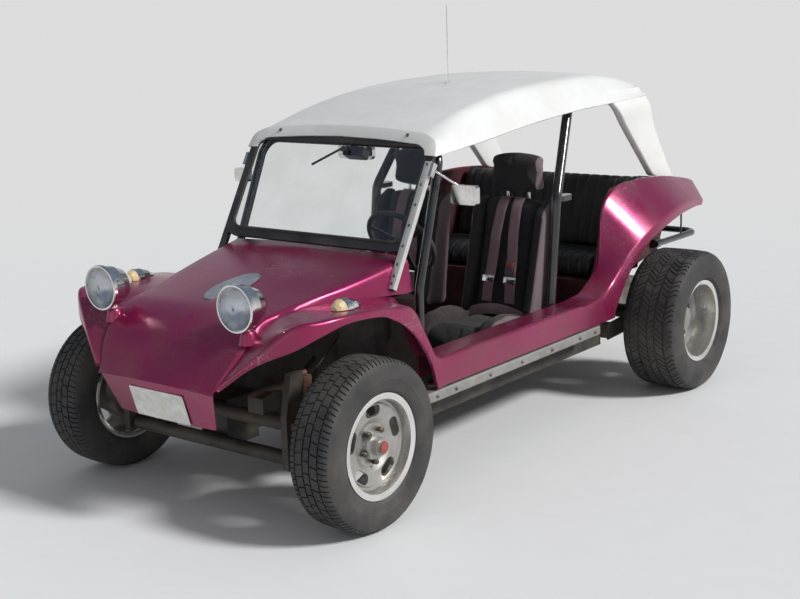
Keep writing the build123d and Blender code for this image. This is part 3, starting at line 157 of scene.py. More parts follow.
def modify(piece: bpy.types.Object, kind: str, **settings: object) -> None:
    """Add a modifier and apply it.

    Args:
        piece: the piece.
        kind: type of the modifier.
        settings: its settings.
    """
    pick(piece)
    modifier = piece.modifiers.new(kind.title(), kind)
    for key, value in settings.items():
        setattr(modifier, key, value)
    bpy.ops.object.modifier_apply(modifier=modifier.name)


def edit(piece: bpy.types.Object, *steps: Callable[[], object]) -> None:
    """Run edit mode operators on all of a piece.

    Args:
        piece: the piece.
        steps: calls of the operators, in order.
    """
    pick(piece)
    bpy.ops.object.mode_set(mode="EDIT")
    bpy.ops.mesh.select_all(action="SELECT")
    for step in steps:
        step()
    bpy.ops.object.mode_set(mode="OBJECT")


def merge(piece: bpy.types.Object, distance: float = 0.0002) -> None:
    """Close seams and poles, and turn the faces outwards.

    Args:
        piece: the piece.
        distance: points this near become one, in metres.
    """
    edit(
        piece,
        lambda: bpy.ops.mesh.remove_doubles(threshold=distance),
        lambda: bpy.ops.mesh.normals_make_consistent(inside=False),
    )


def smooth(piece: bpy.types.Object, degrees: float = 40.0) -> None:
    """Shade smooth below an angle."""
    pick(piece)
    bpy.ops.object.shade_smooth_by_angle(angle=math.radians(degrees))


def settle(piece: bpy.types.Object) -> None:
    """Put a piece's place into its mesh."""
    pick(piece)
    bpy.ops.object.transform_apply(location=True, rotation=True, scale=True)


def skin(name: str, rows: Sequence[Row], thickness: float = 0.0, hint: Vector = Vector((0, 0, 1)),
         angle: float = 40.0) -> bpy.types.Object:
    """Sheet through rows of points, thickened away from its outer side.

    Args:
        name: name of the piece.
        rows: rows of the same count.
        thickness: wall in millimetres, 0 for a surface that closes on itself.
        hint: direction in which the outer side mostly looks.
        angle: smoothing angle in degrees.

    Returns:
        The finished piece, at the origin.
    """
    clear_selection()
    across = len(rows[0])
    bpy.ops.mesh.primitive_grid_add(x_subdivisions=across - 1, y_subdivisions=len(rows) - 1, size=1)
    piece = bpy.context.object
    piece.name = piece.data.name = name
    flat = [value for row in rows for point in row for value in point]
    piece.data.vertices.foreach_set("co", flat)
    piece.data.update()
    if thickness:
        facing = sum((face.normal * face.area for face in piece.data.polygons), Vector()).dot(hint)
        edit(
            piece,
            lambda: bpy.ops.mesh.remove_doubles(threshold=0.0003),
            lambda: facing < 0 and bpy.ops.mesh.flip_normals(),
        )
        modify(piece, "SOLIDIFY", thickness=thickness / 1000, offset=-1, use_even_offset=False)
    else:
        merge(piece)
    smooth(piece, angle)
    return piece


def loop_round(width: float, depth: float, radius: float, steps: int = 4) -> list[tuple[float, float]]:
    """Closed rounded rectangle about the origin.

    Args:
        width: size across.
        depth: size along.
        radius: rounding of its corners.
        steps: faces round each corner.

    Returns:
        Its points, the first one repeated at the end.
    """
    points = []
    for i, (sx, sy) in enumerate(((1, 1), (-1, 1), (-1, -1), (1, -1))):
        cx, cy = sx * (width / 2 - radius), sy * (depth / 2 - radius)
        for k in range(steps + 1):
            turn = math.pi / 2 * (i + k / steps)
            points.append((cx + radius * math.cos(turn), cy + radius * math.sin(turn)))
    return points + points[:1]


def capped(rows: list[Row]) -> list[Row]:
    """Close a row of loops at both ends.

    Args:
        rows: the loops, each with its first point repeated at the end.

    Returns:
        The same rows between two that lie in a point.
    """
    ends = [sum(row[:-1], Vector()) / (len(row) - 1) for row in (rows[0], rows[-1])]
    return [[ends[0]] * len(rows[0]), *rows, [ends[1]] * len(rows[0])]


def copy_to(piece: bpy.types.Object, name: str, move: Matrix) -> bpy.types.Object:
    """Copy a piece with its own mesh.

    Args:
        piece: the piece.
        name: name of the copy.
        move: matrix that moves or mirrors its mesh.

    Returns:
        The copy, at the origin.
    """
    twin = piece.copy()
    twin.data = piece.data.copy()
    twin.name = twin.data.name = name
    bpy.context.scene.collection.objects.link(twin)
    twin.data.transform(move)
    if move.determinant() < 0:
        twin.data.flip_normals()
    return twin


def select_faces(piece: bpy.types.Object, test: Callable[[bpy.types.MeshPolygon], bool]) -> None:
    """Enter edit mode with some faces selected.

    Args:
        piece: the piece.
        test: says whether a face is selected.
    """
    pick(piece)
    bpy.ops.object.mode_set(mode="EDIT")
    bpy.ops.mesh.select_mode(type="FACE")
    bpy.ops.mesh.select_all(action="DESELECT")
    bpy.ops.object.mode_set(mode="OBJECT")
    for face in piece.data.polygons:
        face.select = test(face)
    bpy.ops.object.mode_set(mode="EDIT")


def turned(name: str, centre: Vector, outline: Sequence[tuple[float, float]], axis: Vector, steps: int = 40,
           angle: float = 35.0) -> bpy.types.Object:
    """Piece turned on a lathe: a chain of points extruded in edit mode and spun round its axis.

    Args:
        name: name of the piece.
        centre: point on the axis from which the outline is measured.
        outline: distances along the axis and radii, in millimetres.
        axis: direction of the axis.
        steps: faces round the axis.
        angle: smoothing angle in degrees.

    Returns:
        The closed piece, at the origin.
    """
    along = axis.normalized()
    out = along.cross(Vector((1, 0, 0)) if abs(along.x) < 0.9 else Vector((0, 0, 1))).normalized()
    points = [centre + along * a / 1000 + out * r / 1000 for a, r in outline]
    clear_selection()
    bpy.ops.mesh.primitive_plane_add(size=0.001, location=points[0])
    piece = bpy.context.object
    piece.name = piece.data.name = name
    settle(piece)
    bpy.ops.object.mode_set(mode="EDIT")
    bpy.ops.mesh.select_mode(type="VERT")
    bpy.ops.mesh.select_all(action="SELECT")
    bpy.ops.mesh.merge(type="CENTER")
    for here, after in zip(points, points[1:]):
        bpy.ops.mesh.extrude_region_move(TRANSFORM_OT_translate={"value": after - here})
    bpy.ops.mesh.select_all(action="SELECT")
    bpy.ops.mesh.spin(steps=steps, angle=math.tau, center=centre, axis=along)
    bpy.ops.object.mode_set(mode="OBJECT")
    merge(piece, 0.00002)
    smooth(piece, angle)
    return piece


def joined(name: str, pieces: Sequence[bpy.types.Object]) -> bpy.types.Object:
    """Join several pieces.

    Args:
        name: name of the whole.
        pieces: the pieces, which lose their own names.

    Returns:
        One piece.
    """
    clear_selection()
    for piece in pieces:
        piece.select_set(True)
    bpy.context.view_layer.objects.active = pieces[0]
    bpy.ops.object.join()
    whole = bpy.context.object
    whole.name = whole.data.name = name
    return whole


def hex_bolt(spot: Vector, axis: Vector, across: float, high: float) -> bpy.types.Object:
    """Six-sided bolt head or nut with its stud, modelled from a cylinder.

    Args:
        spot: middle of its seat.
        axis: direction it stands in.
        across: radius in millimetres.
        high: height in millimetres.

    Returns:
        The piece, at the origin.
    """
    clear_selection()
    turn = axis.to_track_quat("Z", "Y").to_euler()
    middle = spot + axis.normalized() * high / 2000
    bpy.ops.mesh.primitive_cylinder_add(vertices=6, radius=across / 1000, depth=high / 1000, location=middle,
                                        rotation=turn)
    piece = bpy.context.object
    settle(piece)
    select_faces(piece, lambda face: face.normal.dot(axis.normalized()) > 0.9)
    bpy.ops.mesh.inset(thickness=across * 0.25 / 1000)
    bpy.ops.mesh.extrude_region_move(TRANSFORM_OT_translate={"value": axis.normalized() * high * 0.3 / 1000})
    bpy.ops.object.mode_set(mode="OBJECT")
    modify(piece, "BEVEL", width=across * 0.12 / 1000, segments=1, limit_method="ANGLE")
    smooth(piece, 30)
    return piece


def puff(piece: bpy.types.Object, reach: float, voxel: float = 0.007, levels: int = 0) -> None:
    """Swell a pad as its filling would, by a cloth simulation under inner pressure.

    Args:
        piece: closed pad.
        reach: how far a point may move, in metres.
        voxel: size of the cloth's mesh, in metres.
        levels: subdivisions after the simulation.
    """
    pick(piece)
    piece.data.remesh_voxel_size = voxel
    bpy.ops.object.voxel_remesh()
    before = [point.co.copy() for point in piece.data.vertices]
    cloth = piece.modifiers.new("Cloth", "CLOTH")
    cloth.settings.use_pressure = True
    cloth.settings.uniform_pressure_force = CLOTH_PRESSURE
    cloth.settings.effector_weights.gravity = 0
    cloth.settings.quality = 3
    cloth.point_cache.frame_start, cloth.point_cache.frame_end = 1, CLOTH_FRAMES
    for step in range(1, CLOTH_FRAMES + 1):
        bpy.context.scene.frame_set(step)
    bpy.ops.object.modifier_apply(modifier=cloth.name)
    bpy.context.scene.frame_set(1)
    for point, start in zip(piece.data.vertices, before):
        moved = point.co - start
        if moved.length > reach:
            point.co = start + moved.normalized() * reach
    if levels:
        modify(piece, "SUBSURF", levels=levels, render_levels=levels)


def sew(piece: bpy.types.Object, depth: float, width: float, gap: Callable[[Vector], float]) -> None:
    """Press sewn channels into a pad.

    Args:
        piece: the pad.
        depth: depth in metres.
        width: half width in metres.
        gap: distance of a point from the nearest seam, in metres.
    """
    normals = [vertex.normal.copy() for vertex in piece.data.vertices]
    for vertex, normal in zip(piece.data.vertices, normals):
        if abs(normal.x) < 0.8:
            vertex.co -= normal * depth * math.exp(-((gap(vertex.co) / width) ** 2))
    piece.data.update()


# Finishes


class Wire:
    """Shorthand for adding and joining nodes in one tree."""

    def __init__(self, tree: bpy.types.NodeTree) -> None:
        """Keep the tree."""
        self.tree = tree

    def add(self, kind: str, *values: object, out: int = 0, **settings: object) -> bpy.types.NodeSocket:
        """Add a node.

        Args:
            kind: node type, without its ShaderNode part.
            values: one for each input in order: a socket to join, a value to set, or None to leave it.
            out: which output to return.
            settings: properties of the node.

        Returns:
            The node's output.
        """
        node = self.tree.nodes.new("ShaderNode" + kind)
        for key, value in settings.items():
            setattr(node, key, value)
        for socket, value in zip(node.inputs, values):
            self.set(socket, value)
        return node.outputs[out]

    def set(self, socket: bpy.types.NodeSocket, value: object) -> None:
        """Join a socket, or set its own value.

        Args:
            socket: an input.
            value: a socket to join, a value to set, or None to leave it.
        """
        if isinstance(value, bpy.types.NodeSocket):
            self.tree.links.new(value, socket)
        elif value is not None:
            socket.default_value = value

    def math(self, kind: str, a: object, b: object = None, c: object = None) -> bpy.types.NodeSocket:
        """Math node."""
        return self.add("Math", a, b, c, operation=kind)

    def span(self, value: object, low: float, high: float, to_low: float = 0.0,
             to_high: float = 1.0) -> bpy.types.NodeSocket:
        """Map Range node that stays inside its target."""
        return self.add("MapRange", value, low, high, to_low, to_high)

    def mix(self, share: object, first: object, second: object) -> bpy.types.NodeSocket:
        """Mix two colours.

        Args:
            share: share of the second.
            first: first colour.
            second: second colour.

        Returns:
            The mixed colour.
        """
        node = self.tree.nodes.new("ShaderNodeMix")
        node.data_type = "RGBA"
        for index, value in ((0, share), (6, first), (7, second)):
            self.set(node.inputs[index], rgba(value))
        return node.outputs[2]

    def noise(self, place: object, scale: object, detail: float = 4.0,
              rough: float = 0.55) -> bpy.types.NodeSocket:
        """Cloudy noise.

        Args:
            place: coordinates.
            scale: clouds to the metre.
            detail: finer layers.
            rough: share of each finer layer.

        Returns:
            Its value.
        """
        node = self.tree.nodes.new("ShaderNodeTexNoise")
        for key, value in (("Vector", place), ("Scale", scale), ("Detail", detail), ("Roughness", rough)):
            self.set(node.inputs[key], value)
        return node.outputs["Fac"]

    def stretched(self, place: object, scale: tuple[float, float, float],
                  turn: tuple[float, float, float] = (0, 0, 0)) -> bpy.types.NodeSocket:
        """Stretch and turn coordinates.

        Args:
            place: coordinates.
            scale: stretch on each axis.
            turn: angles in radians.

        Returns:
            The new coordinates.
        """
        node = self.tree.nodes.new("ShaderNodeMapping")
        self.set(node.inputs["Vector"], place)
        node.inputs["Scale"].default_value = scale
        node.inputs["Rotation"].default_value = turn
        return node.outputs[0]


Knobs = dict[str, bpy.types.NodeSocket]
Effect = Callable[[Wire, Knobs, bpy.types.NodeSocket], bpy.types.NodeSocket]


def rgba(value: object) -> object:
    """Colour with its alpha, anything else as it is."""
    return (*value, 1.0) if isinstance(value, tuple) and len(value) == 3 else value


def effect(name: str, knobs: dict[str, float], build: Effect) -> bpy.types.NodeTree:
    """Shared node group with one value as its output.

    Args:
        name: name of the group.
        knobs: its value inputs and what they start at.
        build: makes the nodes from the wire, the inputs and the object coordinates.

    Returns:
        The group, built once.
    """
    if name in bpy.data.node_groups:
        return bpy.data.node_groups[name]
    tree = bpy.data.node_groups.new(name, "ShaderNodeTree")
    for key, start in knobs.items():
        socket = tree.interface.new_socket(name=key, in_out="INPUT", socket_type="NodeSocketFloat")
        socket.default_value = start
    tree.interface.new_socket(name="Mask", in_out="OUTPUT", socket_type="NodeSocketFloat")
    wire = Wire(tree)
    source, sink = tree.nodes.new("NodeGroupInput"), tree.nodes.new("NodeGroupOutput")
    value = build(wire, dict(source.outputs.items()), wire.add("TexCoord", out=3))
    wire.set(sink.inputs[0], value)
    return tree


def dust_nodes(wire: Wire, knob: Knobs, place: bpy.types.NodeSocket) -> bpy.types.NodeSocket:
    """Dust that lies on upward faces and climbs from the ground.

    Args:
        wire: the group's wire.
        knob: its inputs by name.
        place: object coordinates.

    Returns:
        Share of dust.
    """
    cloud = wire.noise(place, knob["Scale"], 7.0, 0.65)
    facing = wire.add("SeparateXYZ", wire.add("NewGeometry", out=1), out=2)
    height = wire.add("SeparateXYZ", place, out=2)
    lying = wire.span(facing, -0.1, 1.0, 0.25, 0.8)
    low = wire.span(height, 0.15, 0.75, 0.5, 0.0)
    share = wire.math("ADD", lying, low)
    patch = wire.span(cloud, 0.38, 0.66)
    return wire.math("MULTIPLY", wire.math("MULTIPLY", share, patch), knob["Amount"])


def scratch_nodes(wire: Wire, knob: Knobs, place: bpy.types.NodeSocket) -> bpy.types.NodeSocket:
    """Thin crossing scratches in patches.

    Args:
        wire: the group's wire.
        knob: its inputs by name.
        place: object coordinates.

    Returns:
        Mask of the scratches.
    """
    total: object = 0.0
    for turn, scale in ((0.35, (2.2, 90, 26)), (-0.8, (70, 2.6, 30)), (1.1, (40, 60, 2))):
        lines = wire.noise(wire.stretched(place, scale, (turn / 2, 0.2, turn)), knob["Scale"], 1.0, 0.4)
        thin = wire.span(wire.math("ABSOLUTE", wire.math("SUBTRACT", lines, 0.5)), 0.0, 0.012, 1.0, 0.0)
        total = wire.math("MAXIMUM", total, thin)
    where = wire.span(wire.noise(place, 3.1, 2.0), 0.5, 0.68)
    return wire.math("MULTIPLY", wire.math("MULTIPLY", total, where), knob["Amount"])


def grain_nodes(wire: Wire, knob: Knobs, place: bpy.types.NodeSocket) -> bpy.types.NodeSocket:
    """Leathery cells."""
    cells = wire.add("TexVoronoi", place, None, knob["Scale"], feature="SMOOTH_F1")
    return wire.math("ADD", cells, wire.math("MULTIPLY", wire.noise(place, knob["Scale"]), 0.4))


def cast_nodes(wire: Wire, knob: Knobs, place: bpy.types.NodeSocket) -> bpy.types.NodeSocket:
    """Fine sandy skin."""
    return wire.noise(place, knob["Scale"], 5.0, 0.7)


def brushed_nodes(wire: Wire, knob: Knobs, place: bpy.types.NodeSocket) -> bpy.types.NodeSocket:
    """Fine lines along the car's width."""
    return wire.noise(wire.stretched(place, (1, 14, 14)), knob["Scale"], 3.0, 0.6)


def weave_nodes(wire: Wire, knob: Knobs, place: bpy.types.NodeSocket) -> bpy.types.NodeSocket:
    """Crossing threads, the same whichever way a face looks.

    Args:
        wire: the group's wire.
        knob: its inputs by name.
        place: object coordinates.

    Returns:
        Height of the threads.
    """
    x, y, z = (wire.add("SeparateXYZ", place, out=i) for i in range(3))
    slope = wire.math("ADD", wire.math("MULTIPLY", y, 0.8), z)
    warp = wire.math("SINE", wire.math("MULTIPLY", x, knob["Scale"]))
    weft = wire.math("SINE", wire.math("MULTIPLY", slope, knob["Scale"]))
    return wire.math("ADD", wire.math("MULTIPLY", warp, weft), wire.noise(place, 900.0, 2.0))


def flute_nodes(wire: Wire, knob: Knobs, place: bpy.types.NodeSocket) -> bpy.types.NodeSocket:
    """Upright ribs of a lamp glass."""
    x = wire.add("SeparateXYZ", place, out=0)
    return wire.math("SINE", wire.math("MULTIPLY", x, knob["Scale"]))


class Pattern(Enum):
    """Fine surface of a finish: group name, and what makes its height."""

    CAST = ("cast_skin", cast_nodes)
    GRAIN = ("leather_grain", grain_nodes)
    BRUSHED = ("brushed_lines", brushed_nodes)
    WEAVE = ("cloth_weave", weave_nodes)
    FLUTES = ("lamp_flutes", flute_nodes)


@dataclass(frozen=True)
class Finish:
    """A material: two colours that mottle, a fine pattern, dust and scratches."""

    name: str
    # The two colours, and the roughness of each
    colour: tuple[float, float, float]
    shade: tuple[float, float, float]
    roughness: tuple[float, float] = (0.35, 0.5)
    # Shares from 0 to 1, here and below
    metallic: float = 0.0
    coat: float = 0.0
    dust: float = 0.35
    dust_colour: tuple[float, float, float] = (0.36, 0.29, 0.20)
    scratches: float = 0.0
    scratch_colour: tuple[float, float, float] = (0.55, 0.42, 0.45)
    pattern: Pattern = Pattern.CAST
    pattern_scale: float = 400.0
    # Height of the pattern in metres, and clouds of the two colours to the metre
    bump: float = 0.0004
    mottle: float = 6.0
    clear: float = 0.0
    sheen: float = 0.0

    def tint(self, wire: Wire, place: bpy.types.NodeSocket) -> tuple[object, object]:
        """Base colour and the mask that mottled it."""
        mask = wire.span(wire.noise(place, self.mottle, 5.0, 0.6), 0.36, 0.66)
        return wire.mix(mask, self.colour, self.shade), mask

    def build(self) -> bpy.types.Material:
        """Make the material.

        Returns:
            The material, made once.
        """
        name = "finish_" + self.name
        if name in bpy.data.materials:
            return bpy.data.materials[name]
        made = bpy.data.materials.new(name)
        made.use_nodes = True
        made.diffuse_color = rgba(self.colour)
        wire = Wire(made.node_tree)
        shader = made.node_tree.nodes["Principled BSDF"]
        place = wire.add("TexCoord", out=3)
        colour, mask = self.tint(wire, place)
        rough = wire.span(mask, 0.0, 1.0, *self.roughness)
        height = self.group(wire, *self.pattern.value, {"Scale": self.pattern_scale})
        if self.scratches:
            lines = self.group(wire, "scratches", scratch_nodes, {"Scale": 1.6, "Amount": self.scratches})
            colour = wire.mix(lines, colour, self.scratch_colour)
            rough = wire.math("MAXIMUM", rough, wire.math("MULTIPLY", lines, 0.6))
        if self.dust:
            dust = self.group(wire, "dust", dust_nodes, {"Scale": 5.0, "Amount": self.dust})
            colour = wire.mix(dust, colour, self.dust_colour)
            rough = wire.math("MAXIMUM", rough, wire.math("MULTIPLY", dust, 1.1))
        bump = wire.tree.nodes.new("ShaderNodeBump")
        bump.inputs["Strength"].default_value = 0.6
        bump.inputs["Distance"].default_value = self.bump
        wire.set(bump.inputs["Height"], height)
        wire.set(shader.inputs["Base Color"], colour)
        wire.set(shader.inputs["Roughness"], rough)
        wire.set(shader.inputs["Normal"], bump.outputs[0])
        for key, value in (
            ("Metallic", self.metallic),
            ("Coat Weight", self.coat),
            ("Coat Roughness", 0.2),
            ("Transmission Weight", self.clear),
            ("Sheen Weight", self.sheen),
            ("IOR", 1.45),
        ):
            shader.inputs[key].default_value = value
        return made

    @staticmethod
    def group(wire: Wire, name: str, build: Effect, knobs: dict[str, float]) -> bpy.types.NodeSocket:
        """Place a shared effect in a material.

        Args:
            wire: the material's wire.
            name: name of the effect.
            build: what makes it the first time.
            knobs: its values here.

        Returns:
            Its output.
        """
        node = wire.tree.nodes.new("ShaderNodeGroup")
        node.node_tree = effect(name, knobs, build)
        for key, value in knobs.items():
            node.inputs[key].default_value = value
        return node.outputs[0]


@dataclass(frozen=True)
class WheelFinish(Finish):
    """Cast and polished wheel: bright rim lip, barrel darkened by painted shade and stain, satin disc, about
    one axle.
    """

    # In metres: middle of the wheel, radius where the lip starts, radii between which the painted shade and
    # stain of the barrel fade in, and half the disc's depth
    centre: tuple[float, float, float] = (0.0, 0.0, 0.0)
    polished: float = 0.178
    shade_and_stained: tuple[float, float] = (0.156, 0.166)
    disc: float = 0.0
    lip_colour: tuple[float, float, float] = (0.82, 0.81, 0.79)
    shade_and_stain_colour: tuple[float, float, float] = (0.19, 0.17, 0.15)

    def tint(self, wire: Wire, place: bpy.types.NodeSocket) -> tuple[object, object]:
        """Colour by distance from the axle.

        Args:
            wire: the material's wire.
            place: object coordinates.

        Returns:
            Colour, and the mask of its roughness.
        """
        away = wire.add("VectorMath", place, self.centre, operation="SUBTRACT")
        across = wire.add("SeparateXYZ", away, out=0)
        flat = wire.add("VectorMath", away, (0, 1, 1), operation="MULTIPLY")
        radius = wire.add("VectorMath", flat, out=1, operation="LENGTH")
        lip = wire.span(radius, self.polished - 0.004, self.polished + 0.004)
        grime = wire.span(wire.noise(place, 9.0, 6.0, 0.7), 0.35, 0.7)
        # Painted shade with some stain: the barrel inside the dish, away from the disc, darkens in grime
        # patches
        deep = wire.span(wire.math("ABSOLUTE", across), self.disc + 0.004, self.disc + 0.02)
        ring = wire.math("MULTIPLY", wire.span(radius, *self.shade_and_stained), deep)
        shade_and_stain = wire.math("MULTIPLY", wire.math("MULTIPLY", ring, grime), 0.8)
        body = wire.mix(grime, self.colour, self.shade)
        body = wire.mix(shade_and_stain, body, self.shade_and_stain_colour)
        mask = wire.math("MULTIPLY", wire.math("SUBTRACT", 1.0, lip), wire.math("ADD", 0.35, grime))
        return wire.mix(lip, body, self.lip_colour), mask


@dataclass(frozen=True)
class SeatFinish(Finish):
    """Black seat cloth with mauve side panels beyond a distance from the seat's middle, in metres."""

    middle: float = 0.3
    edge: float = 0.196
    panel: tuple[float, float, float] = (0.190, 0.140, 0.155)

    def tint(self, wire: Wire, place: bpy.types.NodeSocket) -> tuple[object, object]:
        """Colour by distance from the seat's middle.

        Args:
            wire: the material's wire.
            place: object coordinates.

        Returns:
            Colour, and the mask of its roughness.
        """
        colour, mask = super().tint(wire, place)
        x = wire.add("SeparateXYZ", place, out=0)
        away = wire.math("ABSOLUTE", wire.math("SUBTRACT", x, self.middle))
        side = wire.span(away, self.edge - 0.0015, self.edge + 0.0015)
        return wire.mix(side, colour, self.panel), mask


@dataclass(frozen=True)
class TubFinish(Finish):
    """Dark inside of the rear tub, with body paint behind a place along the car, in metres."""

    edge: float = 1.55

    def tint(self, wire: Wire, place: bpy.types.NodeSocket) -> tuple[object, object]:
        """Colour by place along the car.

        Args:
            wire: the material's wire.
            place: object coordinates.

        Returns:
            Colour, and the mask of its roughness.
        """
        colour, mask = super().tint(wire, place)
        back = wire.span(wire.add("SeparateXYZ", place, out=1), self.edge - 0.002, self.edge + 0.002)
        return wire.mix(back, colour, PAINT.colour), mask


PAINT = Finish("raspberry_gelcoat", (0.29, 0.007, 0.082), (0.22, 0.005, 0.060), (0.24, 0.38), metallic=0.5,
               coat=0.5, dust=0.16, scratches=0.6, pattern_scale=420, bump=0.00035, mottle=2.5)
WHITE = Finish("white_gelcoat", (0.80, 0.80, 0.79), (0.72, 0.72, 0.70), (0.3, 0.5), coat=0.3, dust=0.16,
               scratches=0.25, scratch_colour=(0.5, 0.48, 0.45), pattern_scale=180, bump=0.0003, mottle=2.0)
FINISHES = {
    "body_paint": PAINT,
    "pan_paint": Finish("pan_black", (0.016, 0.016, 0.017), (0.04, 0.037, 0.033), (0.5, 0.8), dust=0.3,
                        bump=0.0008),
    "tub_paint": Finish("tub_black", (0.014, 0.012, 0.013), (0.03, 0.025, 0.025), (0.4, 0.7), dust=0.4),
    "roof_white": WHITE,
    "frame_black": Finish("frame_black", (0.012, 0.012, 0.013), (0.03, 0.03, 0.03), (0.25, 0.45), coat=0.3,
                          dust=0.1, scratches=0.5, scratch_colour=(0.25, 0.25, 0.25)),
    "tube_black": Finish("tube_black", (0.010, 0.010, 0.012), (0.02, 0.02, 0.022), (0.15, 0.3), coat=0.7,
                         dust=0.08, scratches=0.3, scratch_colour=(0.2, 0.2, 0.2)),
    "screen_glass": Finish("screen_glass", (0.93, 0.96, 0.95), (0.85, 0.9, 0.88), (0.0, 0.05), dust=0.06,
                           pattern_scale=3, bump=0.0001, clear=1.0),
    "lens_glass": Finish("lens_glass", (0.84, 0.88, 0.93), (0.74, 0.77, 0.80), (0.02, 0.08), dust=0.04,
                         pattern=Pattern.FLUTES, pattern_scale=700, bump=0.0004, clear=1.0),
    "chrome": Finish("chrome", (0.82, 0.82, 0.82), (0.62, 0.60, 0.57), (0.06, 0.2), metallic=1.0,
                     dust=0.12, pattern_scale=90, bump=0.0003, mottle=14.0),
    "signal_amber": Finish("signal_cream", (0.80, 0.56, 0.25), (0.74, 0.62, 0.42), (0.2, 0.4), coat=0.6,
                           dust=0.2, pattern=Pattern.FLUTES, pattern_scale=900, bump=0.001, mottle=30.0),
    "tail_red": Finish("tail_red", (0.42, 0.012, 0.012), (0.3, 0.01, 0.01), (0.1, 0.25), coat=0.8,
                       dust=0.2, pattern=Pattern.FLUTES, pattern_scale=900, bump=0.001),
    "plate_white": Finish("plate_white", (0.80, 0.81, 0.79), (0.62, 0.60, 0.55), (0.35, 0.55), dust=0.35,
                          scratches=0.4, scratch_colour=(0.35, 0.33, 0.3), mottle=20.0),
    "rail_alloy": Finish("rail_alloy", (0.36, 0.36, 0.35), (0.24, 0.23, 0.22), (0.4, 0.65), metallic=0.5,
                         dust=0.3, scratches=0.8, pattern=Pattern.BRUSHED, pattern_scale=30),
    "axle_black": Finish("axle_black", (0.022, 0.020, 0.018), (0.05, 0.036, 0.027), (0.45, 0.75), dust=0.22,
                         bump=0.001, mottle=12.0),
    "shock_red": Finish("shock_red", (0.14, 0.035, 0.022), (0.07, 0.03, 0.02), (0.35, 0.6), dust=0.5,
                        mottle=16.0),
    "forged_steel": Finish("forged_steel", (0.09, 0.08, 0.07), (0.16, 0.10, 0.06), (0.5, 0.8), metallic=0.5,
                           dust=0.6, bump=0.001, mottle=14.0),
    "link_steel": Finish("link_steel", (0.16, 0.15, 0.14), (0.08, 0.07, 0.06), (0.35, 0.6), metallic=0.8,
                         dust=0.5, pattern=Pattern.BRUSHED, pattern_scale=40),
    "wheel_rubber": Finish("grip_black", (0.012, 0.012, 0.012), (0.022, 0.02, 0.02), (0.4, 0.6), dust=0.2,
                           pattern=Pattern.GRAIN, pattern_scale=300, bump=0.001),
    "case_alloy": Finish("case_alloy", (0.24, 0.23, 0.21), (0.11, 0.09, 0.07), (0.4, 0.7), metallic=0.6,
                         dust=0.6, bump=0.0012, mottle=18.0),
    "shroud_black": Finish("shroud_black", (0.012, 0.012, 0.012), (0.03, 0.03, 0.03), (0.3, 0.5), dust=0.45),
    "exhaust_steel": Finish("exhaust_steel", (0.10, 0.075, 0.055), (0.2, 0.13, 0.08), (0.4, 0.7),
                            metallic=0.7, dust=0.5, bump=0.0012, mottle=12.0),
    "seat_cloth": Finish("black_cloth", (0.010, 0.010, 0.013), (0.022, 0.020, 0.024), (0.8, 0.95), dust=0.1,
                         pattern=Pattern.WEAVE, pattern_scale=2200, bump=0.0012, sheen=0.06),
    "bench_vinyl": Finish("bench_vinyl", (0.010, 0.010, 0.011), (0.02, 0.02, 0.02), (0.35, 0.55), dust=0.1,
                          pattern=Pattern.GRAIN, pattern_scale=500, bump=0.0007),
    "strap_web": Finish("mauve_web", (0.30, 0.19, 0.22), (0.22, 0.14, 0.165), (0.75, 0.9), dust=0.1,
                        pattern=Pattern.WEAVE, pattern_scale=3000, bump=0.001, sheen=0.06),
    "tyre": Finish("tyre_rubber", (0.022, 0.022, 0.024), (0.040, 0.039, 0.040), (0.55, 0.8), dust=0.55,
                   dust_colour=(0.15, 0.135, 0.115), pattern_scale=300, bump=0.0006, mottle=9.0),
}
MAUVE_CLOTH = Finish("mauve_cloth", (0.135, 0.10, 0.115), (0.09, 0.07, 0.08), (0.8, 0.95), dust=0.1,
                     pattern=Pattern.WEAVE, pattern_scale=2200, bump=0.0012, sheen=0.06)
RED_PAINT = Finish("faded_red", (0.32, 0.03, 0.035), (0.24, 0.05, 0.05), (0.35, 0.6), dust=0.25, mottle=30.0)
DARK_NUT = Finish("dark_nut", (0.05, 0.045, 0.04), (0.12, 0.10, 0.08), (0.35, 0.6), metallic=0.8, dust=0.4,
                  mottle=40.0)
RISER_RED = TubFinish("riser_red", (0.085, 0.012, 0.022), (0.05, 0.01, 0.016), (0.4, 0.65), dust=0.4)
POST_ALLOY = Finish("post_alloy", (0.62, 0.62, 0.61), (0.5, 0.5, 0.48), (0.35, 0.5), metallic=0.3, dust=0.25,
                    scratches=0.6, scratch_colour=(0.3, 0.3, 0.3), pattern=Pattern.BRUSHED, pattern_scale=30)


def dress(piece: bpy.types.Object, finish: Finish) -> None:
    """Give every slot of a piece one finish.

    Args:
        piece: new piece or CAD node.
        finish: the finish.
    """
    made = finish.build()
    if not piece.material_slots:
        piece.data.materials.append(made)
    for slot in piece.material_slots:
        slot.material = made


def fit(piece: bpy.types.Object, finish: Finish, body: str = "body",
        replaces: Sequence[str] = ()) -> None:
    """Dress a new piece and put it on its body.

    Args:
        piece: the piece.
        finish: its finish.
        body: body that it rides on.
        replaces: nodes whose place it takes.
    """
    dress(piece, finish)
    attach(piece, body)
    if replaces:
        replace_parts(piece, *replaces)
    log.info("%s on %s", piece.name, body)


# Body shells

WALL = 6.0
# Valley between hood and fender. Columns: station, x, height
VALLEY = Track([(508, 518, 800), (300, 479, 814), (120, 437, 822), (-60, 398, 820), (-180, 383, 790),
                (-262, 386, 740), (-340, 364.5, 662), (-400, 322, 577)])


def twins(stem: str, rows: Sequence[Row], replaces: str) -> None:
    """Painted sheet on the left side and its mirrored copy on the right.

    Args:
        stem: start of both names.
        rows: rows of the left one.
        replaces: node whose place they take.
    """
    left = skin(stem + "_left", rows, WALL)
    for piece in (left, copy_to(left, stem + "_right", MIRROR)):
        fit(piece, PAINT, replaces=[replaces])


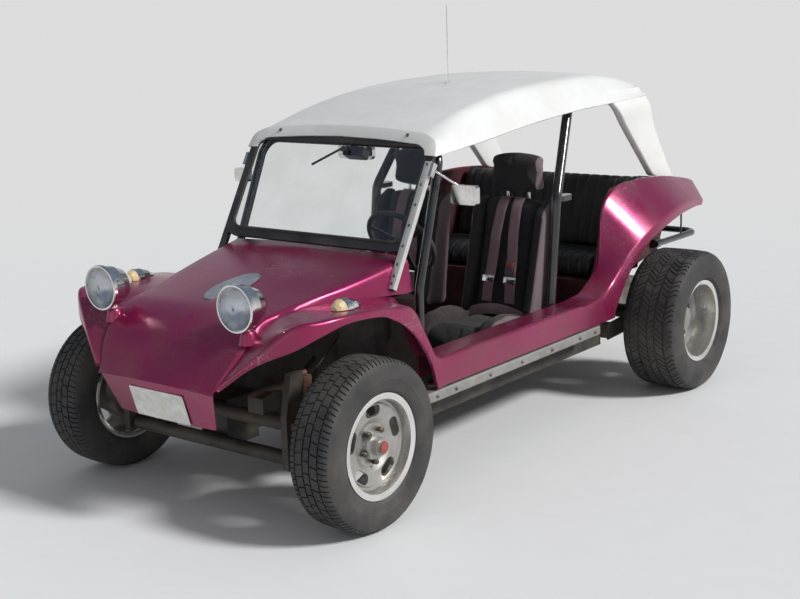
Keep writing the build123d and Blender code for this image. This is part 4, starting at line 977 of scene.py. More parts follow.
@dataclass
class Hood:
    """Crowned hood that rolls over into the blunt nose."""

    # Columns: station, half width where the side face starts
    plan: Track = field(default_factory=lambda: Track(
        [(556, 576), (234, 521), (-115, 432), (-250, 420), (-344, 380), (-400, 328), (-416, 318)]))
    # Slope of the side faces, the height at which the plan holds, and the last station of the valley
    lean: float = math.tan(math.radians(12))
    plan_height: float = 560.0
    valley_end: float = 508.0
    # Fall of the crown at this half width
    crown: float = 22.0
    crown_half: float = 620.0
    back: tuple[float, float] = (556.0, 953.0)
    shoulder: tuple[float, float] = (-130.0, 828.0)
    roll_centre: tuple[float, float] = (-72.95, 515.0)
    roll_radius: float = 318.2
    roll_from: float = 10.33
    roll_to: float = 58.75
    toe: tuple[float, float] = (-414.2, 566.3)
    edge_round: float = 26.0
    # Place of a lamp pod, and its columns: height, radius
    pod_x: float = 376.0
    pod_station: float = -262.0
    pod_stretch: float = 1.15
    pod_rows: tuple = ((735, 36), (760, 31), (776, 28), (783, 26), (786.5, 23), (787.2, 19))

    def middle_line(self) -> list[tuple[float, float]]:
        """Run along the middle, from the windscreen to the nose edge.

        Returns:
            Stations and heights.
        """
        line = [tuple(a + (b - a) * k / 18 for a, b in zip(self.back, self.shoulder)) for k in range(18)]
        for k in range(13):
            turn = math.radians(self.roll_from + (self.roll_to - self.roll_from) * k / 12)
            line.append((self.roll_centre[0] - self.roll_radius * math.sin(turn),
                         self.roll_centre[1] + self.roll_radius * math.cos(turn)))
        brow = line[-1]
        line += [tuple(a + (b - a) * k / 5 for a, b in zip(brow, self.toe)) for k in range(1, 6)]
        return line

    def row(self, station: float, z: float) -> Row:
        """One row across, from valley to valley.

        Args:
            station: place along the car.
            z: height on the middle.

        Returns:
            Points of the row.
        """
        edge_x = edge_z = 0.0
        for _ in range(4):
            edge_z = z - self.crown * (edge_x / self.crown_half) ** 2
            edge_x = self.plan(station)[0] - (edge_z - self.plan_height) * self.lean
        valley_x, valley_z = VALLEY(min(station, self.valley_end))
        if valley_z > edge_z - 3:
            valley_x, valley_z = edge_x + 1, edge_z - 3
        half = []
        for k in range(6):
            x = edge_x * k / 6
            half.append(at(x, station, z - self.crown * (x / self.crown_half) ** 2))
        half += [at(edge_x, station, edge_z), at(valley_x, station, valley_z),
                 at(valley_x, station, valley_z - 1)]
        return both_sides(soften(half, [0] * 6 + [self.edge_round, 0, 0], 5))

    def build(self) -> None:
        """Shell and its two lamp pods."""
        piece = skin("hood_shell", [self.row(*point) for point in self.middle_line()], WALL)
        fit(piece, PAINT, replaces=["hood"])
        turns = [math.tau * k / 32 for k in range(33)]
        for side, hand in SIDES:
            rows = [[at(side * self.pod_x + radius * math.cos(turn),
                        self.pod_station + radius * self.pod_stretch * math.sin(turn), z) for turn in turns]
                    for z, radius in self.pod_rows]
            fit(skin("lamp_pod_" + hand, capped(rows)), PAINT)


@dataclass
class Fender:
    """Front fender, and the leg behind the wheel down to the sill."""

    round_inner: float = 14.0
    round_shoulder: float = 30.0
    round_outer: float = 26.0
    # Share of the way out at which the shoulder lies, and faces between two rows of the tables
    shoulder_share: float = 0.6
    between: int = 6
    # Columns: station, outer x, outer height, arch lip height
    front_rows: tuple = (
        (-400, 345, 600, 578), (-340, 470, 705, 674), (-262, 606, 828, 737), (-180, 665, 842, 780),
        (-60, 698, 843, 811), (120, 702, 834, 800),
    )
    # Columns: x, station and height of the inner edge, the shoulder and the outer edge, then station and
    # height of the arch lip
    leg_rows: tuple = (
        (463, 230, 817, 610, 230, 817, 702, 230, 818, 206, 768),
        (479, 300, 814, 608, 298, 811, 702, 300, 806, 258, 740),
        (489, 350, 811, 606, 345, 795, 702, 345, 780, 294, 714),
        (500, 405, 806, 606, 390, 738, 702, 385, 722, 339, 675),
        (512, 455, 785, 608, 430, 665, 702, 425, 650, 385, 622),
        (540, 490, 690, 612, 470, 588, 702, 468, 578, 426, 556),
        (566, 503, 600, 618, 500, 560, 702, 500, 558, 442, 520),
        (570, 508, 556, 620, 508, 556, 702, 508, 556, 470, 432),
    )
    # Foot on the sill's front face. Columns: x, height
    foot_station: float = 508.3
    foot: tuple = ((540.3, 552), (570.3, 556), (620, 556), (702, 556), (702.6, 432), (688, 432))

    def rows(self) -> list[Row]:
        """Run from the nose to the sill.

        Returns:
            Rows from the tuck under the inner edge to the inside of the arch lip.
        """
        table = []
        for i, (station, outer_x, outer_z, lip_z) in enumerate(self.front_rows):
            x, z = VALLEY(station)
            share = self.shoulder_share
            middle = (x + (outer_x - x) * share, station, z + (outer_z - z) * share)
            table.append((i, x, station, z, *middle, outer_x, station, outer_z, station, lip_z))
        table += [(len(table) + i, *row) for i, row in enumerate(self.leg_rows)]
        track = Track(table)
        rows = []
        for k in range((len(table) - 1) * self.between + 1):
            v = track(k / self.between)
            inner, shoulder, outer = at(*v[0:3]), at(*v[3:6]), at(*v[6:9])
            lip = at(v[6] + 2, v[9], v[10])
            tuck = inner + Vector((-0.03, 0, -0.004))
            inward = Vector((-0.014, 0, 0))
            line = [tuck, inner, shoulder, outer, lip, lip + inward]
            rows.append(soften(line, [0, self.round_inner, self.round_shoulder, self.round_outer, 4, 0]))
        foot = [at(x, self.foot_station, z) for x, z in self.foot]
        rows.append(soften(foot, [0, 10, 30, 22, 4, 0]))
        return rows

    def build(self) -> None:
        """Both fenders."""
        twins("fender", self.rows(), "front_fenders")


@dataclass
class Quarter:
    """Sill and the quarter that sweeps up and wraps over the rear wheel."""

    hub: tuple[float, float] = (WHEELBASE, 354.0)
    # Columns: station of the top, station of the bottom
    sill_rows: tuple = ((508.3, 508.3), (700, 720), (900, 960), (1100, 1220), (1300, 1500), (1450, 1720),
                        (1540, 1850), (1600, 1936))
    # Heights of the sill's top and bottom and of its inner edge, x of its outer face and of its lower edge
    sill_top: float = 556.0
    sill_bottom: float = 432.0
    sill_inner: float = 446.0
    sill_x: float = 702.0
    sill_under: float = 650.0
    # Radial sections. Columns: angle up from the front, wall radius, shoulder x and radius, lip x and radius
    radial_rows: tuple = (
        (14, 822, 702, 800, 702, 470), (18, 672, 698, 650, 704, 462), (24, 600, 694, 575, 708, 455),
        (34, 556, 702, 530, 714, 450), (46, 606, 722, 510, 726, 452), (58, 722, 740, 505, 742, 462),
        (70, 742, 752, 512, 754, 470), (84, 716, 754, 524, 756, 476), (104, 726, 742, 570, 744, 520),
        (124, 806, 712, 664, 714, 620), (134, 880, 690, 742, 692, 706),
    )
    steps: int = 48
    # x of the wall against the tub's side, and how far it reaches from the shoulder towards the axle
    wall: float = 570.3
    wall_reach: float = 60.0

    def polar(self, x: float, radius: float, degrees: float) -> Vector:
        """Point at an angle about the rear axle."""
        turn = math.radians(degrees)
        return at(x, self.hub[0] - radius * math.cos(turn), self.hub[1] + radius * math.sin(turn))

    def rows(self) -> list[Row]:
        """Run from the front of the sill to the tail.

        Returns:
            Rows from the inner edge to the inside of the lip.
        """
        rows = []
        for top, bottom in self.sill_rows:
            line = [at(self.wall, top, self.sill_inner), at(self.wall, top, self.sill_top),
                    at(self.sill_x, top, self.sill_top), at(self.sill_x, bottom, self.sill_bottom),
                    at(self.sill_under, bottom, self.sill_bottom)]
            rows.append(soften(line, [0, 10, 22, 12, 0], 6))
        track = Track(self.radial_rows)
        first, last = self.radial_rows[0][0], self.radial_rows[-1][0]
        for k in range(self.steps + 1):
            degrees = first + (last - first) * k / self.steps
            wall_r, shoulder_x, shoulder_r, lip_x, lip_r = track(degrees)
            # The roundings change from the sill's to the quarter's over the first rows
            ease = min(k / 8, 1.0)
            line = [
                self.polar(self.wall, wall_r - self.wall_reach, degrees),
                self.polar(self.wall, wall_r, degrees),
                self.polar(shoulder_x, shoulder_r, degrees),
                self.polar(lip_x, lip_r, degrees),
                self.polar(lip_x - 50 + 34 * ease, lip_r, degrees),
            ]
            rows.append(soften(line, [0, 10 + 14 * ease, 22 + 4 * ease, 12 - 6 * ease, 0], 6))
        return rows

    def build(self) -> None:
        """Both sides."""
        twins("quarter", self.rows(), "sides")


@dataclass
class Hardtop:
    """White roof with its header band round the windscreen, and two rear pillars."""

    # Station and height of the windscreen's foot, and the directions up it and out of it
    foot: tuple[float, float] = (441.0, 808.0)
    up: tuple[float, float] = (0.4932, 0.8699)
    out: tuple[float, float] = (-0.8699, 0.4932)
    # Columns: x and height up the windscreen, at the band's outer and inner edge
    header: tuple = (
        (0, 722, 0, 668), (226, 716, 222, 662), (452, 698, 436, 646), (521, 664, 473, 620),
        (534, 598, 480, 598),
    )
    # Lines of the band from its inner edge to the roof. Columns: column of the header, drop, depth
    band: tuple = ((2, 0, 22.4), (2, 0, 29.0), (0, 8, 29.3), (0, 1, 27.0), (0, 0, 20.0))
    roof_wall: float = 7.0
    # Station from which the roof's rows are measured, and faces along the roof
    roof_from: float = 770.0
    roof_steps: int = 36
    # Columns: station, lower x and height, shoulder x and height, crease x and height, crown height
    roof_rows: tuple = (
        (1010, 546, 1368, 492, 1444, 450, 1494, 1514), (1370, 548, 1408, 494, 1488, 448, 1556, 1578),
        (1840, 546, 1444, 494, 1522, 446, 1588, 1608), (2260, 541, 1458, 492, 1524, 444, 1584, 1602),
        (2440, 539, 1466, 490, 1514, 444, 1556, 1572), (2540, 537, 1472, 490, 1502, 444, 1532, 1544),
    )
    # Columns: height, outer x, front and rear station
    pillar_rows: tuple = (
        (980, 549, 2678, 2872), (1324, 545, 2324, 2622), (1446, 543, 2198, 2563), (1506, 505, 2146, 2535),
    )
    # Lowest and highest loop of a pillar, its thickness and its corners' rounding
    pillar_span: tuple[float, float] = (985.0, 1512.0)
    pillar_thick: float = 44.0
    pillar_round: float = 17.0
    # Top of the tub's flange, on which the pillars stand. Columns: station, height
    flange: Track = field(default_factory=lambda: Track(
        [(2104, 1036), (2250, 1050), (2576, 1046), (2851, 1008), (2960, 984)]))

    def on_screen(self, x: float, height: float, depth: float) -> Vector:
        """Point in front of the windscreen's rear face."""
        return at(x, self.foot[0] + height * self.up[0] + depth * self.out[0],
                  self.foot[1] + height * self.up[1] + depth * self.out[1])

    def roof(self) -> list[Row]:
        """Run from the band's inner edge over the roof to its rear edge.

        Returns:
            Rows across the whole car.
        """
        front = [[self.on_screen(row[column], row[column + 1] - drop, depth) for row in self.header]
                 for column, drop, depth in self.band]
        # The band's face ends level with its inner edge at the sides
        front[2][-1] = self.on_screen(528, 598, 29.3)
        halves = [(0.0, front[4])]
        for station, low_x, low_z, mid_x, mid_z, crease_x, crease_z, crown in self.roof_rows:
            halves.append((station - self.roof_from, [
                at(0, station, crown),
                at(crease_x / 2, station, crown - (crown - crease_z) / 4),
                at(crease_x, station, crease_z),
                at(mid_x, station, mid_z),
                at(low_x, station, low_z),
            ]))
        track = Track([(place, *[v for p in half for v in p]) for place, half in halves])
        rows = [both_sides(soften(line, [0, 60, 60, 40, 0], 5)) for line in front[:4]]
        last = halves[-1][0]
        for k in range(self.roof_steps + 1):
            v = track(last * k / self.roof_steps)
            line = [Vector(v[i:i + 3]) for i in range(0, 15, 3)]
            rows.append(both_sides(soften(line, [0, 120, 60, 45, 0], 5)))
        rows.append([p + Vector((0, 0.006, -0.012)) for p in rows[-1]])
        return rows

    def pillar(self, side: int) -> list[Row]:
        """Run up a rear pillar, from the tub's flange into the roof.

        Args:
            side: 1 for the left one, -1 for the right one.

        Returns:
            Closed loops.
        """
        track = Track(self.pillar_rows)
        low, high = self.pillar_span
        loops = []
        for k in range(25):
            z = low + (high - low) * k / 24
            outer, ahead, behind = track(z)
            loop = []
            for dx, dy in loop_round(self.pillar_thick, behind - ahead, self.pillar_round):
                station = (ahead + behind) / 2 + dy
                ground = self.flange(station)[0] + 0.4
                loop.append(at(side * (outer - self.pillar_thick / 2 + dx), station, max(z, ground)))
            loops.append(loop)
        return loops

    def build(self) -> None:
        """Roof and pillars."""
        shell = skin("roof_shell", self.roof(), self.roof_wall, angle=50)
        fit(shell, WHITE, replaces=["hardtop"])
        for side, hand in SIDES:
            fit(skin("pillar_" + hand, capped(self.pillar(side)), angle=50), WHITE)


# Wheels


@dataclass
class Tyre:
    """Tyre turned from its section, with the tread's grooves pressed into it."""

    node: str
    body: str
    x: float
    station: float
    half: float
    radius: float
    # Places of the round grooves across the tread, from -1 to 1
    grooves: tuple[float, ...]
    # Blocks round the tread, and whether they stagger as on a wide rear tyre
    pitches: int
    blocks: bool
    # Faces to a block round the tyre, and faces across the tread, which takes this share of the width
    steps: int = 4
    lanes: int = 26
    tread_share: float = 0.84
    groove_depth: float = 6.5
    # Cross grooves end this far across and this far below the tread, and the slant this far below it
    cut_across: float = 1.12
    cut_fall: float = 14.0
    slant_fall: float = 34.0
    # Shares of the half width, with the fall below the tread, and then with the radius
    shoulder: tuple = ((0.90, 16), (0.945, 29), (0.975, 45), (0.99, 62), (0.998, 78))
    bead: tuple = ((0.992, 256), (0.985, 252), (0.975, 236), (0.955, 231), (0.95, 222), (0.90, 213),
                   (0.86, 209.5), (0.80, 207.2), (0.80, 192))

    def section(self) -> list[tuple[float, float]]:
        """Closed outline of the tyre.

        Returns:
            Distances from the middle and radii.
        """
        half = []
        for k in range(self.lanes // 2 + 1):
            share = k / (self.lanes // 2)
            fall = 3.5 * share**2 + 36.0 * max(share - 0.85, 0)
            half.append((share * self.tread_share, self.radius - fall))
        half += [(share, self.radius - fall) for share, fall in self.shoulder]
        half += self.bead
        outline = [(-a * self.half, r) for a, r in half[:0:-1]] + [(a * self.half, r) for a, r in half]
        return outline + outline[:1]

    def cut(self, face: bpy.types.MeshPolygon) -> bool:
        """Find the grooves.

        Args:
            face: face of the plain tyre.

        Returns:
            Whether it lies in a groove.
        """
        across = (face.center.x * 1000 - self.x) / (self.tread_share * self.half)
        dy, dz = face.center.y - at(0, self.station, 0).y, face.center.z - self.radius / 1000
        if math.hypot(dy, dz) * 1000 < self.radius - self.cut_fall or abs(across) > self.cut_across:
            return False
        if any(abs(across - groove) < 1.0 / self.lanes for groove in self.grooves):
            return True
        count = self.pitches * self.steps
        step = round(math.atan2(dy, dz) / math.tau * count - 0.5) % count
        lane = sum(across > groove for groove in self.grooves)
        phase = (step + 2 * lane) % self.steps
        if self.blocks:
            return phase == 0 and (lane + step // self.steps) % 5 != 4
        if lane in (0, len(self.grooves)):
            return phase == 0
        return phase == 0 and (step // self.steps) % 2 == lane % 2

    def slant(self, piece: bpy.types.Object) -> None:
        """Turn each lane round the axle by its place across, so that the cross grooves lean.

        Args:
            piece: the tyre.
        """
        centre = at(self.x, self.station, self.radius)
        pitch = math.tau / self.pitches
        for vertex in piece.data.vertices:
            away = vertex.co - centre
            if math.hypot(away.y, away.z) * 1000 < self.radius - self.slant_fall:
                continue
            across = away.x * 1000 / (self.tread_share * self.half)
            lean = 0.9 * abs(across) if not self.blocks else 1.3 * abs((across * 3) % 2 - 1)
            turn = Matrix.Rotation(lean * pitch, 3, "X")
            vertex.co = centre + turn @ away

    def build(self) -> None:
        """Tyre in place of its node."""
        centre = at(self.x, self.station, self.radius)
        piece = turned(self.node + "_tread", centre, self.section(), Vector((1, 0, 0)),
                       self.pitches * self.steps)
        select_faces(piece, self.cut)
        bpy.ops.mesh.extrude_region_shrink_fatten(
            MESH_OT_extrude_region={}, TRANSFORM_OT_shrink_fatten={"value": -self.groove_depth / 1000})
        bpy.ops.object.mode_set(mode="OBJECT")
        self.slant(piece)
        smooth(piece, 32)
        fit(piece, FINISHES["tyre"], self.body, [self.node])


@dataclass(frozen=True)
class Axle:
    """Wheels of one axle: their place, tyre, tread and nuts."""

    end: str
    x: float
    station: float
    half: float
    radius: float
    grooves: tuple[float, ...]
    pitches: int
    blocks: bool
    # Half depth of the wheel's disc, and distance of the nuts' seat from the wheel's middle, in metres
    disc: float
    seat: float


@dataclass
class Wheels:
    """Four tyres, the finish of their rims, and the nuts."""

    front: Axle = Axle("front", 698.0, 0.0, 99.0, 335.0, (-0.654, -0.192, 0.192, 0.654),
                       92, False, 0.05, 0.0395)
    rear: Axle = Axle("rear", 808.0, WHEELBASE, 148.5, 354.0, (-0.731, -0.346, 0.038, 0.346, 0.731),
                      84, True, 0.02, -0.005)
    # The tread stays inside the node's tyre by these distances, across and round
    inside: tuple[float, float] = (0.4, 0.2)
    nut_count: int = 5
    nut_circle: float = 0.064
    # Radius and height of a nut
    nut: tuple[float, float] = (12.5, 19.0)
    # Distances from the wheel's middle in metres, and outlines: distance outwards, radius
    # The dark ring round the front hubs is painted shade of the hollow there
    shade_ring_from: float = 0.0398
    shade_ring: tuple = ((0, 40), (0, 52), (4, 54), (12, 52), (16, 46), (16, 39), (0, 40))
    cap_from: float = 0.0953
    cap: tuple = ((0, 0), (0, 22), (1.5, 24), (4, 23), (6, 18), (6.8, 0))

    def build(self) -> None:
        """Dress the wheels."""
        for axle in (self.front, self.rear):
            for side, hand in SIDES:
                place, body = f"{axle.end}_{hand}", f"wheel_{axle.end}_{hand}"
                Tyre("tyre_" + place, body, side * axle.x, axle.station, axle.half - self.inside[0],
                     axle.radius - self.inside[1], axle.grooves, axle.pitches, axle.blocks).build()
                centre = at(side * axle.x, axle.station, axle.radius)
                rim = WheelFinish("cast_rim_" + place, (0.52, 0.52, 0.50), (0.36, 0.34, 0.31), (0.16, 0.5),
                                  metallic=0.85, dust=0.3, pattern_scale=160, bump=0.0005, mottle=9.0,
                                  centre=tuple(centre), disc=axle.disc)
                dress(frame["nodes"]["rim_" + place], rim)
                out = Vector((side, 0, 0))
                self.nuts(place, body, out, centre + out * axle.seat)
                if axle is self.front:
                    self.hub(hand, body, out, centre)

    def nuts(self, place: str, body: str, out: Vector, seat: Vector) -> None:
        """Ring of wheel nuts between the slots.

        Args:
            place: end and side of the wheel.
            body: body that they ride on.
            out: direction out of the car.
            seat: middle of their ring.
        """
        turns = [math.radians(k * 360 / self.nut_count + 54) for k in range(self.nut_count)]
        spots = [seat + Vector((0, self.nut_circle * math.cos(turn), self.nut_circle * math.sin(turn)))
                 for turn in turns]
        nuts = joined("wheel_nuts_" + place, [hex_bolt(spot, out, *self.nut) for spot in spots])
        fit(nuts, DARK_NUT, body)

    def hub(self, hand: str, body: str, out: Vector, centre: Vector) -> None:
        """Dark ring round a front hub, painted shade of the hollow about the hub, and the red end of its cap.

        Args:
            hand: side of the car.
            body: body that they ride on.
            out: direction out of the car.
            centre: middle of the wheel.
        """
        # Painted shade: a dark ring round the hub
        shade_ring = turned("hub_collar_" + hand, centre + out * self.shade_ring_from, self.shade_ring, out)
        fit(shade_ring, DARK_NUT, body)
        disc = turned("cap_end_" + hand, centre + out * self.cap_from, self.cap, out)
        fit(disc, RED_PAINT, body)


# Soft goods


def pad_line(outline: Sequence[tuple[float, float]], corner: float, steps: int) -> tuple[Row, Vector]:
    """Closed line round a pad in side view.

    Args:
        outline: its corners as stations and heights.
        corner: rounding of the corners in millimetres.
        steps: faces in each rounding.

    Returns:
        The line on the car's middle with its first point repeated at the end, and the corners' mean.
    """
    ring = [at(0, station, z) for station, z in outline]
    line = soften([ring[-1], *ring, ring[0]], [0] + [corner] * len(ring) + [0], steps)[1:-1]
    return line + [line[0].copy()], sum(ring, Vector()) / len(ring)


@dataclass
class Pad:
    """Crowned closed pad: outline in side view, swelling across its width."""

    name: str
    middle: float
    half: float
    # Corners in side view: station, height
    outline: tuple[tuple[float, float], ...]
    corner: float
    # Crown on its middle and how far its ends draw in, in millimetres, and how far the cloth may swell
    # it, in metres
    swell: float
    pull: float = 18.0
    reach: float = 0.016
    # Sewn lines across the pad: station and height of a point on it, and the direction that crosses it
    seams: tuple[tuple[float, float, float, float], ...] = ()

    def form(self) -> bpy.types.Object:
        """Model the pad.

        Returns:
            The pad, swelled and sewn.
        """
        line, mid = pad_line(self.outline, self.corner, 7)
        rows = []
        for k in range(33):
            side = math.sin((k / 32 - 0.5) * math.pi)
            crown = (1 - side * side) * self.swell / 1000 - abs(side) ** 5 * self.pull / 1000
            row = []
            for point in line:
                away = point - mid
                moved = point + away.normalized() * crown
                row.append(Vector(((self.middle + side * self.half) / 1000, moved.y, moved.z)))
            rows.append(row)
        piece = skin(self.name, capped(rows), angle=60)
        puff(piece, self.reach)
        for station, z, along, up in self.seams:
            start, across = at(0, station, z), Vector((0, along, up)).normalized()
            sew(piece, 0.006, 0.006, lambda spot, start=start, across=across: (spot - start).dot(across))
        smooth(piece, 180)
        return piece


# Foot of the seat back's front face on the car's middle, its direction upwards and the one out of it
BACK_FOOT = at(0, 1500, 452)
BACK_UP = Vector((0, 0.2339, 0.9723))
BACK_OUT = Vector((0, -BACK_UP.z, BACK_UP.y))


@dataclass
class Seats:
    """Two bucket seats with bolsters and headrests."""

    middle: float = 300.0
    half: float = 208.0
    bolster: float = 50.0
    # Half distances between the shoulder straps at their foot and at the top, and where their sliders sit
    strap_spread: tuple[float, float] = (66.0, 38.0)
    slider_share: float = 0.2
    # Sections across a strap. Columns: distance from its middle, lift
    strap: tuple = ((-29, -0.002), (-26, 0), (-13, 0.0008), (0, 0), (13, 0.0008), (26, 0), (29, -0.002))
    lap_strap: tuple = ((-0.026, -0.002), (-0.022, 0), (0, 0.001), (0.022, 0), (0.026, -0.002))
    strap_thick: float = 2.6
    # Width, length and corners' rounding of the plinth under a seat, its station and its two heights
    plinth: tuple[float, float, float] = (300.0, 340.0, 12.0)
    plinth_station: float = 1330.0
    plinth_heights: tuple[float, float] = (269.5, 348.0)
    # Section of a headrest's stem. Columns: height above its foot, radius
    stem: tuple = ((0, 0), (0, 7), (66, 7), (66, 0))
    stem_foot: tuple[float, float] = (1698.0, 1030.0)

    def pads(self) -> Iterator[tuple[Pad, str]]:
        """Go through the pads of the left seat.

        Returns:
            Each pad with the name of its cloth.
        """
        inner = self.half - self.bolster + 2
        middle = self.middle
        yield Pad("seat_cushion", middle, inner, (
            (1112, 345), (1104, 446), (1134, 488), (1474, 456), (1512, 345)), corner=44, swell=6,
            seams=((1180, 480, 1, 0.1), (1330, 465, 1, 0.1))), "seat"
        yield Pad("seat_back", middle, inner, (
            (1502, 456), (1644, 1022), (1676, 1044), (1706, 1030), (1634, 474)), corner=34, swell=5,
            seams=((1560, 700, 0.24, 1), (1600, 860, 0.24, 1))), "seat"
        for edge, tag in ((-1, "inner"), (1, "outer")):
            yield Pad("seat_bolster_" + tag, middle + edge * (self.half - 42), 38, (
                (1118, 350), (1108, 450), (1170, 536), (1300, 552), (1430, 522), (1498, 350)),
                corner=44, swell=6, pull=8, reach=0.008), "mauve"
            width = self.bolster / 2
            yield Pad("back_bolster_" + tag, middle + edge * (self.half - width - 4), width - 3, (
                (1470, 486), (1486, 562), (1596, 992), (1678, 1036), (1708, 1026), (1632, 474)),
                corner=36, swell=3, pull=6, reach=0.008), "seat"
        yield Pad("headrest", middle, 126, (
            (1652, 1066), (1650, 1218), (1676, 1240), (1724, 1238), (1738, 1206), (1734, 1066)),
            corner=30, swell=6, pull=10, reach=0.010), "rest"

    @staticmethod
    def cloths(middle: float, hand: str) -> dict[str, SeatFinish]:
        """Make the cloths of one seat.

        Args:
            middle: middle of the seat, in millimetres.
            hand: side of the car.

        Returns:
            Cloths by name, which change to mauve beyond a distance from the middle.
        """
        weave = {"roughness": (0.8, 0.95), "dust": 0.1, "pattern": Pattern.WEAVE, "pattern_scale": 2200,
                 "bump": 0.0012, "sheen": 0.06, "middle": middle / 1000}
        black = ((0.010, 0.010, 0.013), (0.022, 0.020, 0.024))
        return {
            "seat": SeatFinish("seat_cloth_" + hand, *black, **weave),
            "rest": SeatFinish("headrest_cloth_" + hand, *black, edge=0.122, **weave),
            "mauve": SeatFinish("bolster_cloth_" + hand, (0.040, 0.030, 0.036), (0.028, 0.021, 0.026),
                                edge=0.192, **weave),
        }

    def build(self) -> None:
        """Pads of both seats, and their belts."""
        cloths = {hand: self.cloths(side * self.middle, hand) for side, hand in SIDES}
        for pad, cloth in self.pads():
            left = pad.form()
            left.name = left.data.name = pad.name + "_left"
            right = copy_to(left, pad.name + "_right", MIRROR)
            for piece, hand in ((left, "left"), (right, "right")):
                fit(piece, cloths[hand][cloth])
                if pad.name == "seat_cushion":
                    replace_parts(piece, "seats")
        for side, hand in SIDES:
            middle = side * self.middle
            for stem in (-60, 60):
                foot = at(middle + stem, *self.stem_foot)
                bar = turned(f"headrest_stem_{hand}_{stem + 60}", foot, self.stem, Vector((0, 0, 1)), 16)
                fit(bar, FINISHES["chrome"])
            loop = loop_round(*self.plinth, 3)
            rows = [[at(middle + dx, self.plinth_station + dy, z) for dx, dy in loop]
                    for z in self.plinth_heights]
            fit(skin("seat_plinth_" + hand, capped(rows)), FINISHES["tub_paint"])
            self.belt(middle, hand)

    def belt(self, middle: float, hand: str) -> None:
        """Shoulder straps with their sliders, lap strap and buckle.

        Args:
            middle: middle of the seat, in millimetres.
            hand: side of the car.
        """
        wide, narrow = self.strap_spread
        for side, tag in ((-1, "a"), (1, "b")):
            rows = []
            for k in range(31):
                t = k / 30
                over = max(t - 0.86, 0) / 0.14
                proud = 0.020 + 0.006 * math.sin(math.pi * t) + 0.003 * math.sin(4 * math.pi * t)
                base = BACK_FOOT + BACK_UP * (0.095 + 0.53 * min(t, 0.93)) + BACK_OUT * proud
                # Over the top of the seat back the strap bends backwards
                base += Vector((0, 0.085 * over**1.3, 0.012 * math.sin(math.pi * min(over, 1))))
                x = middle + (wide + (narrow - wide) * t) * side
                rows.append([base + Vector(((x + dx) / 1000, 0, 0)) + BACK_OUT * lift
                             for dx, lift in self.strap])
            piece = skin(f"shoulder_strap_{hand}_{tag}", rows, self.strap_thick, Vector((0, -1, 0)), 60)
            fit(piece, FINISHES["strap_web"])
            if tag == "a":
                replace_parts(piece, "harness")
            x = middle + (wide + (narrow - wide) * self.slider_share) * side
            self.plate(f"strap_slider_{hand}_{tag}", x, 0.205, (68, 30), 5, 0.030, FINISHES["chrome"],
                       "chrome")
        rows = []
        for k in range(41):
            t = k / 40 * 2 - 1
            base = BACK_FOOT + BACK_UP * (0.062 - 0.030 * t * t) + BACK_OUT * (0.020 + 0.012 * (1 - t * t))
            base += Vector(((middle + 158 * t) / 1000, 0, 0))
            rows.append([base + BACK_UP * dz + BACK_OUT * lift for dz, lift in self.lap_strap])
        lap = skin("lap_strap_" + hand, rows, self.strap_thick, Vector((0, -1, 0)), 60)
        fit(lap, FINISHES["strap_web"])
        self.plate("buckle_" + hand, middle + 62, 0.262, (56, 70), 14, 0.036, MAUVE_CLOTH, "strap_web")
        self.plate("buckle_button_" + hand, middle + 62, 0.276, (36, 28), 6, 0.045, RED_PAINT, "tail_red")

    @staticmethod
    def plate(name: str, x: float, up: float, size: tuple[float, float], thick: float, proud: float,
              finish: Finish, slot: str) -> None:
        """Small rounded block on the straps.

        Args:
            name: name of the piece.
            x: its middle across the car, in millimetres.
            up: its distance up the seat back, in metres.
            size: width and height in millimetres.
            thick: thickness in millimetres.
            proud: distance of its middle in front of the seat back, in metres.
            finish: its finish.
            slot: its material slot, which is not used.
        """
        spot = BACK_FOOT + Vector((x / 1000, 0, 0)) + BACK_UP * up + BACK_OUT * proud
        clear_selection()
        bpy.ops.mesh.primitive_cube_add(
            size=1, location=spot, scale=(size[0] / 1000, thick / 1000, size[1] / 1000),
            rotation=(-math.atan2(BACK_UP.y, BACK_UP.z), 0, 0))
        piece = bpy.context.object
        piece.name = piece.data.name = name
        settle(piece)
        select_faces(piece, lambda face: face.normal.dot(BACK_OUT) > 0.9)
        bpy.ops.mesh.inset(thickness=min(size) * 0.12 / 1000)
        bpy.ops.mesh.extrude_region_move(TRANSFORM_OT_translate={"value": BACK_OUT * thick * 0.12 / 1000})
        bpy.ops.object.mode_set(mode="OBJECT")
        edge = min(min(size) * 0.14, thick * 0.35) / 1000
        modify(piece, "BEVEL", width=edge, segments=3, limit_method="ANGLE")
        smooth(piece, 50)
        fit(piece, finish)


